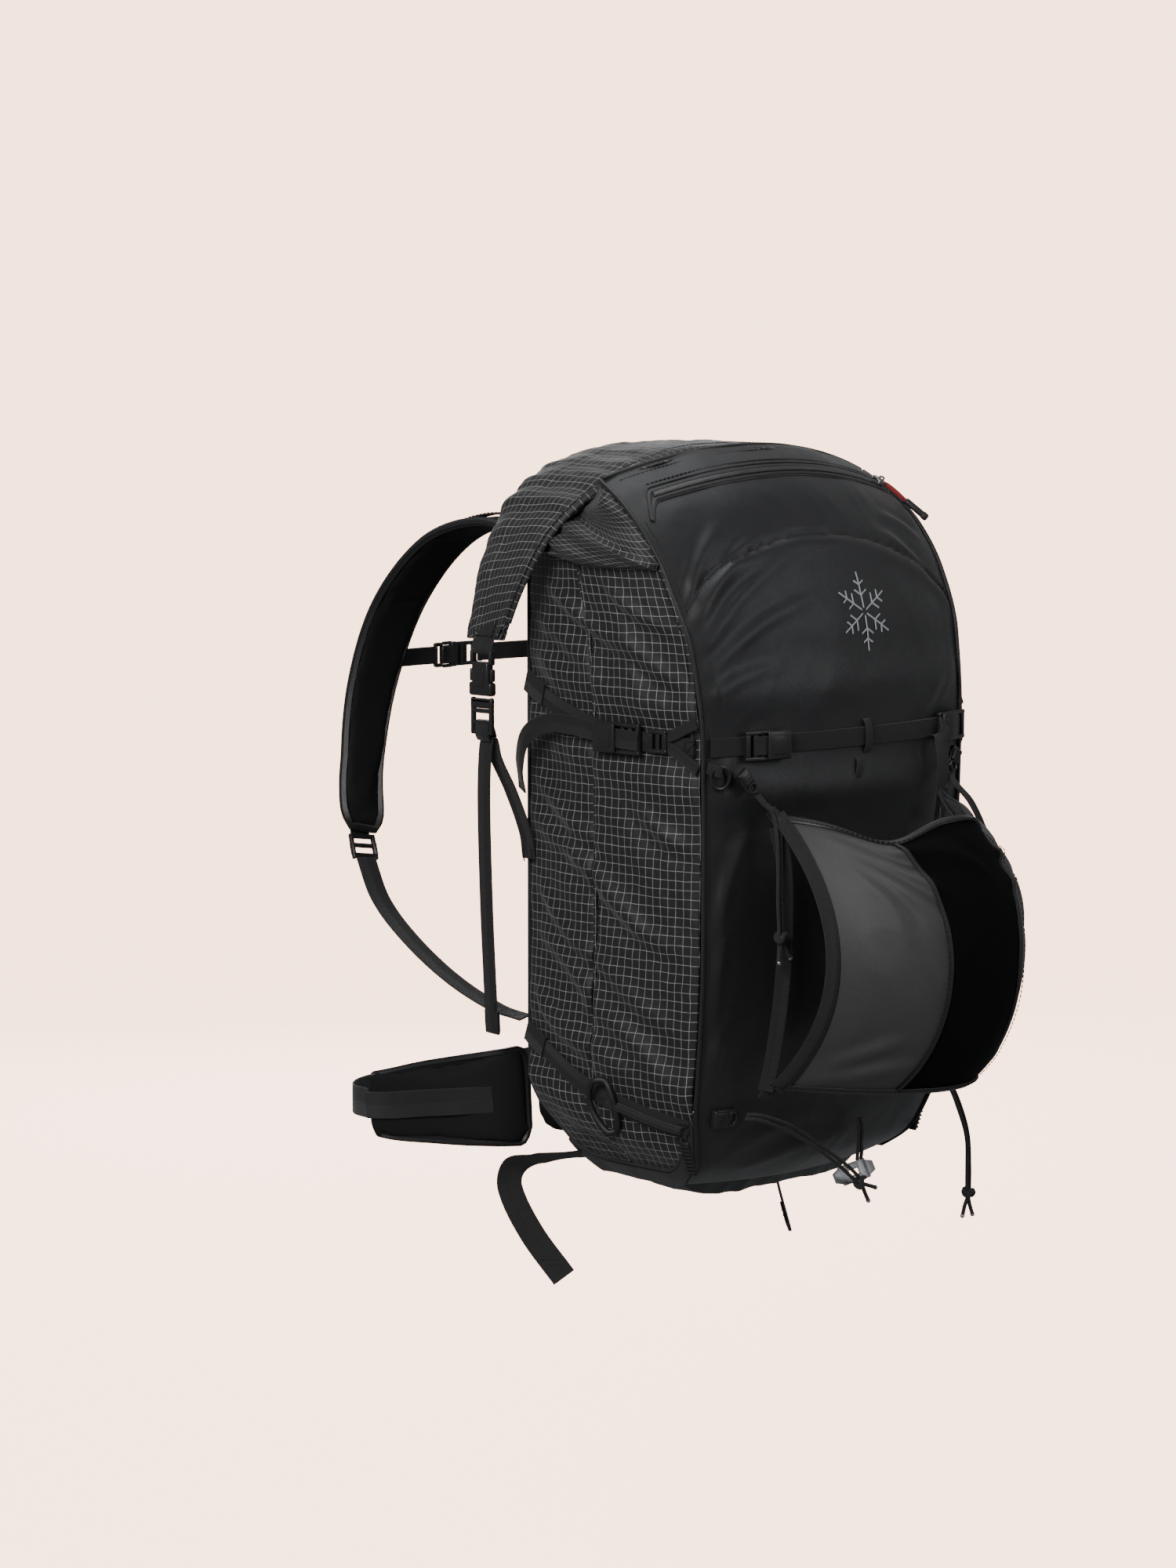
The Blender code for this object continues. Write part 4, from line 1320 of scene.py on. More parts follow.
    def build_base(self) -> None:
        """The base, with its seam piping."""
        def lift(flat: np.ndarray, u: np.ndarray, v: np.ndarray) -> np.ndarray:
            """Small creases, fading to the seams."""
            soft = crumple(flat, 41.0, (18.0, 18.0), 0.0022)
            return np.clip(soft, -0.003, 0.002) * edge_fade(u, 0, 1, 0.1) * edge_fade(v, 0, 1, 0.1)

        base = panel("base_cloth", self.base_place, (0.0, 1.0), (0.0, 1.0), (90, 70), lift, BASE_CLOTH,
                     (0, 0, -1))
        settle(base, "pack", "shell_fabric", "base_panel")
        for name, v in (("front", 0.0), ("rear", 1.0)):
            u = np.linspace(0.0, 1.0, 60)
            rim = self.base_place(u, np.full_like(u, v)) + np.array([0.0, -0.002 if v == 0 else 0.002, 0.0])
            swept_piece("base_piping_" + name, rim, (0, 0, 1), round_section(0.002), SHELL, "pack",
                        "shell_fabric")
        for hand in HANDS:
            v = np.linspace(0.0, 1.0, 60)
            rim = self.base_place(np.full_like(v, 0.5 + 0.5 * hand), v) + np.array([0.0025 * hand, 0.0, 0.0])
            swept_piece(hand_name(hand, "base_piping"), rim, (0, 0, 1), round_section(0.002), SHELL, "pack",
                        "shell_fabric")

    def build_back(self) -> None:
        """The wall against the wearer."""
        def place(u: np.ndarray, t: np.ndarray) -> np.ndarray:
            """Places on the wall."""
            row = SHAPE.station(t)
            half = np.minimum(row[1] - 0.003, 0.1325)
            return np.stack([(2 * u - 1) * half, -row[4], t], axis=-1)

        def lift(flat: np.ndarray, u: np.ndarray, t: np.ndarray) -> np.ndarray:
            """Slight waves."""
            return np.clip(crumple(flat, 55.0, (12.0, 9.0), 0.0012), -0.001, 0.0012)

        wall = panel("back_cloth", place, (0.0, 1.0), (-0.07, 0.42), (60, 120), lift, PAD_CLOTH, (0, 1, 0),
                     0.001)
        settle(wall, "pack", "padding", "back_wall")

    def build_mark(self) -> None:
        """A plain snow crystal printed on the front."""
        bm = bmesh.new()
        centre, reach = (0.145, 0.347), 0.03
        for arm in range(6):
            turn = math.radians(60 * arm + 30)
            lines = [((0.1, 0.0), (1.0, 0.0))]
            for at, length in ((0.42, 0.26), (0.68, 0.2)):
                for side in (-1, 1):
                    tip = (at + length * math.cos(math.radians(60)),
                           side * length * math.sin(math.radians(60)))
                    lines.append(((at, 0.0), tip))
            for start, end in lines:
                row = np.linspace(start, end, 7) * reach
                x = row[:, 0] * math.cos(turn) - row[:, 1] * math.sin(turn)
                z = row[:, 0] * math.sin(turn) + row[:, 1] * math.cos(turn)
                s, t = centre[0] + x / FRONT_HALF, centre[1] + z
                lift = self.front_lift(np.stack([s * FRONT_HALF, t - PANEL_BOTTOM], axis=-1), s, t) + 0.0006
                line = np.array(SHAPE.front_row(np.stack([s, t, lift], axis=1).tolist()))
                sweep(bm, line, np.cross(np.gradient(line, axis=0), (0.0, 1.0, 0.0)),
                      strap_section(0.0015, 0.0005))
        settle(mesh_object("snow_crystal", bm, PRINT), "pack", "shell_fabric")

    def build(self) -> None:
        """Makes every panel."""
        self.build_front()
        for hand in HANDS:
            self.build_side(hand)
            self.build_wrap(hand)
        self.build_base()
        self.build_back()
        self.build_mark()


# ---------------------------------------------------------------- hardware

@dataclass
class LadderBuckle:
    """Flat frame with cross bars that webbing is laced through; X runs along the strap."""

    length: float = 0.036
    width: float = 0.023
    thick: float = 0.0042
    bars: tuple[float, ...] = (-0.0148, -0.007, 0.001, 0.014)
    plate: float = 0.0

    def build(self, name: str, matrix: Matrix) -> bpy.types.Object:
        """Makes the buckle at a matrix."""
        bench = Workbench()
        for side in HANDS:
            bench.bar((self.length, 0.0034, self.thick), (0, side * (self.width / 2 - 0.0017), 0), 0.0012)
            bench.bar((self.length * 0.5, 0.0022, self.thick + 0.0012),
                      (0.002, side * (self.width / 2 - 0.0014), 0), 0.0008)
        for k, x in enumerate(self.bars):
            tall = self.thick * (0.9 if k in (0, len(self.bars) - 1) else 0.62)
            bench.bar((0.004, self.width - 0.003, tall), (x, 0, 0), 0.0011)
        if self.plate:
            start, end = self.length * (0.5 - self.plate), self.length * 0.5
            bench.bar((end - start, self.width * 0.94, 0.003), ((start + end) / 2, 0,
                                                                self.thick / 2 + 0.0022), 0.0013)
            bench.bar(((end - start) * 0.62, self.width * 0.6, 0.001),
                      ((start + end) / 2, 0, self.thick / 2 + 0.0038),
                      0.0005)
        for k in range(5):
            bench.bar((0.0009, self.width - 0.008, 0.0008), (self.bars[-1] - 0.0012 + 0.0009 * k - 0.001, 0,
                                                             self.thick * 0.47), 0.0003)
        return bench.finish(name, matrix, PLASTIC)


@dataclass
class SideRelease:
    """Side-release buckle: a flat socket, and a plate with two sprung prongs."""

    width: float = 0.026
    length: float = 0.036
    thick: float = 0.009

    def socket(self, name: str, matrix: Matrix) -> bpy.types.Object:
        """Makes the socket; X runs towards the prongs."""
        bench = Workbench()
        bench.bar((self.length * 0.62, self.width * 0.72, self.thick * 0.86), (0.002, 0, 0), 0.0022)
        bench.bar((self.length * 0.3, self.width * 0.98, self.thick * 0.8), (self.length * 0.34, 0, 0),
                  0.0022)
        bench.bar((0.003, self.width * 0.92, self.thick * 0.55), (-self.length * 0.46, 0, 0), 0.0012)
        for side in HANDS:
            bench.bar((self.length * 0.3, 0.0034, self.thick * 0.62),
                      (-self.length * 0.33, side * self.width * 0.4, 0), 0.0012)
            bench.bar((0.01, 0.003, self.thick * 0.5), (0.0015, side * self.width * 0.44, 0), 0.0012)
        bench.bar((self.length * 0.4, self.width * 0.42, 0.0012), (0.003, 0, self.thick * 0.44), 0.0005)
        bench.bar((0.0012, self.width * 0.6, 0.001), (self.length * 0.24, 0, self.thick * 0.42), 0.0004)
        return bench.finish(name, matrix, PLASTIC)

    def prongs(self, name: str, matrix: Matrix) -> bpy.types.Object:
        """Makes the plate with its prongs; X runs into the socket."""
        bench = Workbench()
        for x in (-0.0128, -0.005, 0.004, 0.012):
            bench.bar((0.0036, self.width * 0.86, self.thick * (0.42 if x < 0.01 else 0.62)), (x, 0, 0),
                      0.0011)
        for side in HANDS:
            bench.bar((0.029, 0.0034, self.thick * 0.6), (0, side * self.width * 0.41, 0), 0.0012)
        bench.bar((0.008, self.width * 0.98, self.thick * 0.62), (0.01, 0, 0), 0.0016)
        return bench.finish(name, matrix, PLASTIC)


@dataclass
class CordHook:
    """Small moulded hook with an eye for a doubled cord; X runs towards the eye."""

    length: float = 0.02
    width: float = 0.011

    def build(self, name: str, matrix: Matrix) -> bpy.types.Object:
        """Makes the hook at a matrix."""
        bench = Workbench()
        half = self.width / 2
        bench.bar((self.length, self.width, 0.0034), (0, 0, -0.0008), 0.0014)
        bench.bar((self.length * 0.55, self.width * 0.86, 0.003), (-self.length * 0.16, 0, 0.0018), 0.0014)
        bench.bar((0.004, self.width * 1.02, 0.0058), (-self.length * 0.4, 0, 0.0), 0.0014)
        eye = [(self.length * 0.3 + 0.0034 * math.cos(a), half * 0.72 * math.sin(a), 0.0016)
               for a in np.linspace(0, 2 * math.pi, 13)]
        bench.rod(eye, 0.0011, True, 25)
        for k in range(3):
            bench.bar((0.001, self.width * 0.7, 0.0008), (-0.0062 + 0.0026 * k, 0, 0.0034), 0.0003)
        return bench.finish(name, matrix, PLASTIC)


# ---------------------------------------------------------------- cords

class FarEnd(Enum):
    """What a cord ends in."""

    KNOT = "knot"
    FITTING = "fitting"


@dataclass(frozen=True)
class CordRun:
    """One doubled cord: the route of its first strand, and how the second lies beside it."""

    name: str
    body: str
    route: tuple
    beside: tuple[float, float, float]
    far: FarEnd = FarEnd.KNOT
    tips: tuple[float, float, float] = (0.0, 0.0, -1.0)


@dataclass
class FreeCords:
    """The shock cords that hang free, with their knots and tips."""

    diameter: float = CORD
    runs: tuple[CordRun, ...] = (
        CordRun("left_upper_cord", "helmet_carrier",
                ((-0.1115, -0.2465, 0.2155), (-0.106, -0.25, 0.208), (-0.1005, -0.253, 0.202),
                 (-0.0995, -0.257, 0.188), (-0.101, -0.26, 0.165), (-0.103, -0.262, 0.138),
                 (-0.102, -0.2625, 0.11)), (0.0034, 0.0006, 0.0), FarEnd.KNOT, (0.25, 0.0, -1.0)),
        CordRun("right_upper_cord", "helmet_carrier",
                ((0.1115, -0.2465, 0.2155), (0.112, -0.254, 0.207), (0.118, -0.264, 0.194),
                 (0.126, -0.272, 0.17), (0.135, -0.276, 0.145), (0.139, -0.277, 0.12)),
                (-0.0034, -0.0006, 0.0), FarEnd.KNOT, (0.2, 0.0, -1.0)),
        CordRun("left_lower_cord", "pack",
                ((-0.103, -0.229, -0.036), (-0.095, -0.235, -0.037), (-0.07, -0.242, -0.048),
                 (-0.04, -0.244, -0.065), (-0.01, -0.243, -0.085), (0.012, -0.241, -0.101)),
                (0.001, -0.0008, 0.0034), FarEnd.KNOT, (1.0, 0.0, -0.8)),
        CordRun("right_lower_cord", "pack",
                ((0.13, -0.222, -0.038), (0.135, -0.229, -0.04), (0.139, -0.236, -0.055),
                 (0.143, -0.242, -0.08), (0.142, -0.245, -0.105), (0.141, -0.246, -0.125)),
                (-0.0034, -0.0006, 0.0), FarEnd.KNOT, (0.0, 0.0, -1.0)),
        CordRun("axe_toggle_cord", "axe_toggle",
                ((0.018, -0.2345, -0.05), (0.018, -0.236, -0.06), (0.019, -0.235, -0.073),
                 (0.02, -0.233, -0.085)), (0.0036, 0.0, 0.0), FarEnd.FITTING),
    )

    def strand(self, name: str, run: CordRun, row: np.ndarray) -> bpy.types.Object:
        """Makes one strand.

        Args:
            name: the strand's name.
            run: the cord it belongs to.
            row: its centreline.
        Returns:
            The strand, riding on the cord's body.
        """
        ob = swept_object(name, row, (0.3, 1.0, 0.2), round_section(self.diameter / 2, 10), CORD_SHEATH)
        return settle(ob, run.body, "shock_cord")

    def knot(self, run: CordRun, end: np.ndarray) -> list[bpy.types.Object]:
        """The overhand knot at the cord's end and the two tips below it."""
        way = unit(np.array(run.tips))
        centre = end + way * 0.002
        bench = Workbench()
        side = unit(np.cross(way, (0.0, 1.0, 0.0)))
        out = np.cross(side, way)
        coil = []
        for a in np.linspace(0, 2 * math.pi, 25):
            reach = 0.0038 + 0.0009 * math.cos(2 * a)
            coil.append(centre + side * reach * math.cos(a) + out * reach * math.sin(a)
                        + way * 0.0022 * math.sin(2 * a + 0.6))
        bench.rod(coil, 0.0017, True, 33)
        bench.rod([p + way * 0.0034 * math.cos(k * 0.26) * 0.5 + side * 0.0008 for k, p in enumerate(coil)],
                  0.0016, True, 33)
        bench.ball(0.0036, centre, (1, 1, 0.9))
        made = [settle(bench.finish(run.name + "_knot", Matrix.Identity(4), CORD_SHEATH), run.body,
                       "shock_cord")]
        tips, ends = Workbench(), Workbench()
        for k, lean in enumerate((-0.45, 0.35)):
            first = centre + way * 0.003
            last = first + unit(way + side * lean) * 0.016
            tips.rod([first, (first + last) / 2 + out * 0.0006, last], 0.0016, False, 8)
            tips.ball(0.0017, last)
            ends.ball(0.0019, last + unit(way + side * lean) * 0.0008)
        made.append(settle(tips.finish(run.name + "_tips", Matrix.Identity(4), CORD_SHEATH), run.body,
                           "shock_cord"))
        made.append(settle(ends.finish(run.name + "_ends", Matrix.Identity(4), ALUMINIUM), run.body,
                           "shock_cord"))
        return made

    def build(self) -> None:
        """Makes every free cord."""
        for run in self.runs:
            row = smooth_route(run.route, 40)
            share = np.linspace(0, 1, len(row))[:, None]
            first = self.strand(run.name + "_strand", run, row)
            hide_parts(run.name)
            other = row + np.array(run.beside) * (0.95 + 0.35 * np.sin(math.pi * share * 1.7) ** 2)
            second = self.strand(run.name + "_second", run, other)
            if run.far is FarEnd.KNOT:
                extra = self.knot(run, (row[-1] + other[-1]) / 2)
            else:
                extra = [AxeToggle().build()]
            for ob, path in ((first, row), (second, other)):
                tuple(path[0])
                length_of(path)
                [tuple(p) for p in path]


# ---------------------------------------------------------------- rolled top and collar

ROLL_STATIONS = (
    (0.0, 0.0, 0.066, 0.466, 0.116, 0.022),
    (0.22, 0.06, 0.066, 0.463, 0.114, 0.022),
    (0.42, 0.11, 0.064, 0.451, 0.108, 0.02),
    (0.58, 0.145, 0.056, 0.431, 0.09, 0.018),
    (0.72, 0.166, 0.046, 0.403, 0.07, 0.014),
    (0.86, 0.178, 0.036, 0.365, 0.054, 0.01),
    (1.0, 0.184, 0.026, 0.325, 0.042, 0.006),
)


@dataclass
class RollTop:
    """The collar, rolled and folded down at both ends, and its buckles."""

    lift_limit: float = 0.006
    tab_width: float = 0.024

    def section(self, share: np.ndarray) -> tuple[np.ndarray, ...]:
        """Middle, up direction, width and thickness of the roll at each share of its length."""
        keys = [row[0] for row in ROLL_STATIONS]
        at = np.minimum(np.abs(share), 1.0)
        x, depth, z, wide, thick = (hermite(keys, [row[i] for row in ROLL_STATIONS], at) for i in range(1, 6))
        middle = np.stack([np.sign(share) * x, -depth, z], axis=-1)
        ends = np.minimum(at + 0.01, 1.0), np.maximum(at - 0.01, 0.0)
        ahead, down = (np.subtract(*(hermite(keys, [row[i] for row in ROLL_STATIONS], end) for end in ends))
                       for i in (1, 3))
        way = unit(np.stack([ahead, ahead * 0, down * np.sign(share)], axis=-1))
        up = np.stack([-way[..., 2], way[..., 0] * 0, way[..., 0]], axis=-1)
        return middle, up, wide, thick

    def place(self, share: np.ndarray, turn: np.ndarray, grow: float = 0.0) -> np.ndarray:
        """Places on the roll's skin, turn from 0 at its back edge once round through its top."""
        middle, up, wide, thick = self.section(share)
        angle = 2 * math.pi * turn
        flat = np.sign(np.cos(angle)) * np.abs(np.cos(angle)) ** 0.78
        tall = np.sign(np.sin(angle)) * np.abs(np.sin(angle)) ** 0.78
        return (middle + np.array([0, 1.0, 0]) * (flat * (wide / 2 + grow))[..., None]
                + up * (tall * (thick / 2 + grow))[..., None])

    def build_skin(self) -> None:
        """The rolled cloth with its creases and layer edges."""
        def lift(flat: np.ndarray, share: np.ndarray, turn: np.ndarray) -> np.ndarray:
            """Creases across the roll, deeper at its bends, and the step of each layer."""
            bend = bell(np.abs(share) - 0.52, 0.2)
            made = crumple(flat, 71.0, (24.0, 9.0), 0.003) * (0.55 + 0.6 * bend)
            made = made + crumple(flat, 77.0, (46.0, 26.0), 0.0011)
            pleats = np.sin(np.abs(share) * 58.0 + 2.2 * np.sin(turn * 6.3))
            made = made + 0.0016 * bend * pleats
            for at, size in ((0.2, 0.0017), (0.36, 0.0014), (0.455, 0.0012)):
                wave = at + 0.012 * np.sin(share * 5.0 + at * 20)
                made = made + size / (1 + np.exp(-(turn - wave) / 0.006)) - size / 2
            return np.clip(made, -0.004, self.lift_limit)

        skin = panel("roll_cloth", self.place, (-1.0, 1.0), (0.0, 1.0), (300, 90), lift, GRID_CLOTH,
                     (0, 0, 1), 0.0)
        bm = bmesh.new()
        bm.from_mesh(skin.data)
        bmesh.ops.remove_doubles(bm, verts=bm.verts, dist=0.0009)
        bmesh.ops.holes_fill(bm, edges=[e for e in bm.edges if e.is_boundary])
        bmesh.ops.recalc_face_normals(bm, faces=bm.faces)
        bm.to_mesh(skin.data)
        bm.free()
        settle(skin, "roll_top", "ripstop_fabric", "roll_top")

    def build_edges(self) -> None:
        """Layer edges and stiffened lip along the roll, with their sewing."""
        share = np.linspace(-0.95, 0.95, 140)
        turn = np.full_like(share, 0.415) + 0.008 * np.sin(share * 7.0)
        row = self.place(share, turn, 0.0012)
        bm = bmesh.new()
        sweep(bm, row, self.place(share, turn + 0.03, 0.0012) - row, strap_section(0.006, 0.002))
        settle(mesh_object("roll_lip", bm, GRID_CLOTH), "roll_top", "ripstop_fabric")
        sewing = bmesh.new()
        share = np.linspace(-0.94, 0.94, 160)
        row = self.place(share, np.full_like(share, 0.388) + 0.008 * np.sin(share * 7.0), 0.004)
        stitches(sewing, row, unit(row - self.section(share)[0]))
        sewn("roll_sewing", sewing, "roll_top")

    def build_ends(self, hand: int) -> None:
        """Folded end flap, sewn tab and socket of one side."""
        route = handed(hand, ((0.179, -0.03, 0.352), (0.1835, -0.027, 0.338), (0.1862, -0.025, 0.326),
                              (0.188, -0.024, 0.3165), (0.1868, -0.024, 0.315), (0.185, -0.024, 0.322)))
        tab = swept_object(hand_name(hand, "roll_tab"), smooth_route(route, 30), (0, 1, 0),
                           strap_section(self.tab_width, 0.0016), STRAP)
        settle(tab, "roll_top", "webbing")
        sewing = bmesh.new()
        edge = smooth_route(handed(hand, ((0.18, -0.04, 0.35), (0.1868, -0.035, 0.327))), 12)
        for dy in (0.0, 0.02):
            stitches(sewing, edge + np.array([0.0016 * hand, dy, 0]), np.tile((float(hand), 0, 0.2), (12, 1)))
        cross = smooth_route(handed(hand, ((0.1868, -0.036, 0.3285), (0.1868, -0.014, 0.3285))), 12)
        stitches(sewing, cross + np.array([0.0012 * hand, 0, 0]), np.tile((float(hand), 0, 0.2), (12, 1)))
        sewn(hand_name(hand, "roll_tab_sewing"), sewing, "roll_top")
        at = frame_at((0.187 * hand, -0.024, 0.299), (0, 0, -1), (hand, 0, 0))
        socket = SideRelease(0.026, 0.036, 0.009).socket(hand_name(hand, "roll_socket"), at)
        settle(socket, "roll_top", "black_plastic", hand_name(hand, "roll_buckle_female"))

    def build_collar(self) -> None:
        """The gathered cloth between the bag's rim and the roll."""
        s = np.linspace(0.0, 1.0, 26)
        front = SHAPE.front(s * 0.985, np.full_like(s, 0.472)) + np.array([0, 0.0022, 0.0])
        t = np.linspace(0.47, 0.404, 18)[1:]
        corner = SHAPE.front(np.full_like(t, 0.985), t) + np.array([-0.001, 0.0025, 0.0])
        v = np.linspace(0.03, 0.985, 46)
        side = SHAPE.side(1)(v, 0.4 + 0.018 * np.clip((v - 0.5) / 0.4, 0, 1)) + np.array([0.001, 0.0, 0.0])
        x = np.linspace(0.13, 0.0, 22)
        wall = np.stack([x, np.full_like(x, -0.024), np.full_like(x, 0.419)], axis=1)
        right = np.concatenate([front, corner, side, wall])
        rim = np.concatenate([right, mirrored(right)[1:-1]])
        keys = lengths(right)
        keys = keys / keys[-1]
        reach = np.interp(keys, (0.0, 0.16, 0.3, 0.62, 0.86, 1.0), (0.0, 0.4, 0.555, 0.575, 0.22, 0.0))
        turn = np.interp(keys, (0.0, 0.22, 0.3, 0.62, 0.7, 1.0), (0.535, 0.56, 0.62, 0.86, 0.93, 0.96))
        over = self.place(reach, turn, -0.004)
        top = np.concatenate([over, mirrored(over)[1:-1]])
        rim, top = np.concatenate([rim, rim[:1]]), np.concatenate([top, top[:1]])
        rows = 22
        share = np.linspace(0, 1, rows + 1)[:, None, None]
        points = rim[None] * (1 - share) + top[None] * share
        centre = np.array([0.0, -0.075, 0.44])
        out = unit((points - centre) * np.array([1, 1, 0.25]))
        length = lengths(rim)
        tall = np.linalg.norm(top - rim, axis=1)
        up = share[..., 0]
        flat = np.stack([length + up * 0.034, up * np.maximum(tall, 0.02) - 0.35 * length], axis=-1)
        slant = length + up * 0.045
        full = np.sin(math.pi * up ** 0.62)
        folds = full * (0.0042 * np.sin(slant * 92.0 + up * 1.5) + 0.004 * np.sin(slant * 43.0 + 1.0))
        belly = full * np.clip(tall * 0.26, 0, 0.017)
        puff = folds * np.clip(tall / 0.03, 0, 1) + belly + crumple(flat, 91.0, (30.0, 14.0), 0.0022) * full
        points = points + out * puff[..., None]
        collar = grid_object("collar_cloth", points, flat, GRID_CLOTH, (0, -0.001, 0.0), 0.0)
        bm = bmesh.new()
        bm.from_mesh(collar.data)
        bmesh.ops.remove_doubles(bm, verts=bm.verts, dist=1e-6)
        bm.normal_update()
        if sum((f.normal.dot(f.calc_center_median() - Vector(centre)) * f.calc_area() for f in bm.faces)) < 0:
            bmesh.ops.reverse_faces(bm, faces=bm.faces)
        bm.to_mesh(collar.data)
        bm.free()
        wall_mod = collar.modifiers.new("wall", "SOLIDIFY")
        wall_mod.thickness, wall_mod.offset = 0.0008, -1.0
        self.join_mouth(collar)
        self.build_gusset(over[:len(s)])

    def join_mouth(self, ob: bpy.types.Object) -> None:
        """Bakes a cloth's placement into its mesh."""
        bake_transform(ob)

    def build_gusset(self, over: np.ndarray) -> None:
        """Inner cloth from inside the front panel up to the roll, seen when the roll is lifted.

        Args:
            over: places along the roll's underside, from its middle to its right end.
        """
        s = np.linspace(0.0, 1.0, len(over))
        low = SHAPE.front(s * 0.97, np.full_like(s, 0.405)) + np.array([0.0, 0.009, 0.0])
        high = over + np.array([0.0, 0.002, -0.001])
        low, high = (np.concatenate([mirrored(row)[:-1], row]) for row in (low, high))
        share = np.linspace(0, 1, 19)[:, None, None]
        points = low[None] * (1 - share) + high[None] * share
        wide = lengths(low)
        tall = np.linalg.norm(high - low, axis=1)
        flat = np.stack([np.broadcast_to(wide, points.shape[:2]), share[..., 0] * tall], axis=-1)
        self.join_mouth(grid_object("collar_gusset", points, flat, GRID_CLOTH, (0, -1, 0), 0.0008))

    def build(self) -> None:
        """Makes the collar, roll and ends."""
        self.build_collar()
        self.build_skin()
        self.build_edges()
        for hand in HANDS:
            self.build_ends(hand)


@dataclass
class RollStraps:
    """Straps that hold the roll's ends down, with the free tails of their webbing."""

    route: tuple = ((0.1425, -0.029, 0.15), (0.1455, -0.0285, 0.17), (0.16, -0.027, 0.205),
                    (0.174, -0.025, 0.232), (0.178, -0.0245, 0.247), (0.181, -0.024, 0.2487),
                    (0.1835, -0.0235, 0.24), (0.184, -0.022, 0.2), (0.179, -0.019, 0.12),
                    (0.174, -0.017, 0.06), (0.17, -0.016, 0.012))

    def build(self, hand: int) -> None:
        """Makes one side's strap, prongs and stitched ends."""
        row = smooth_route(handed(hand, self.route), 120)
        strap = swept_object(hand_name(hand, "roll_webbing"), row, (0, 1, 0),
                             strap_section(STRAP_WIDTH, 0.0014), STRAP)
        settle(strap, "pack", "webbing", hand_name(hand, "roll_strap"))
        bench = bmesh.new()
        foot = smooth_route(handed(hand, ((0.141, -0.029, 0.146), (0.143, -0.029, 0.158))), 8)
        for dy in (-0.005, 0.005):
            stitches(bench, foot + np.array([0.0016 * hand, dy, 0]), np.tile((float(hand), 0, 0), (8, 1)))
        end = row[-10:]
        stitches(bench, end + np.array([0.001 * hand, -0.0055, 0]), np.tile((float(hand), 0, 0), (10, 1)))
        sewn(hand_name(hand, "roll_webbing_sewing"), bench)
        fold = smooth_route(handed(hand, ((0.1722, -0.0165, 0.03), (0.1705, -0.0161, 0.013),
                                          (0.169, -0.0158, 0.0115),
                                          (0.1684, -0.016, 0.014), (0.1698, -0.0165, 0.03))), 24)
        hem = swept_object(hand_name(hand, "roll_webbing_hem"), fold, (0, 1, 0),
                           strap_section(STRAP_WIDTH, 0.0013), STRAP)
        settle(hem, "pack", "webbing")
        at = frame_at((0.187 * hand, -0.024, 0.2655), (0, 0, 1), (hand, 0, 0))
        male = SideRelease(0.025, 0.03, 0.007).prongs(hand_name(hand, "roll_prongs"), at)
        settle(male, hand_name(hand, "roll_buckle"), "black_plastic", hand_name(hand, "roll_buckle_male"))
        lace = handed(hand, ((0.179, -0.0243, 0.2486), (0.1812, -0.024, 0.2562), (0.185, -0.024, 0.262),
                             (0.1878, -0.024, 0.259), (0.188, -0.024, 0.251), (0.185, -0.0236, 0.2462)))
        loop = swept_object(hand_name(hand, "roll_lacing"), smooth_route(lace, 36), (0, 1, 0),
                            strap_section(STRAP_WIDTH, 0.0013), STRAP)
        settle(loop, hand_name(hand, "roll_buckle"), "webbing")


# ---------------------------------------------------------------- front zip

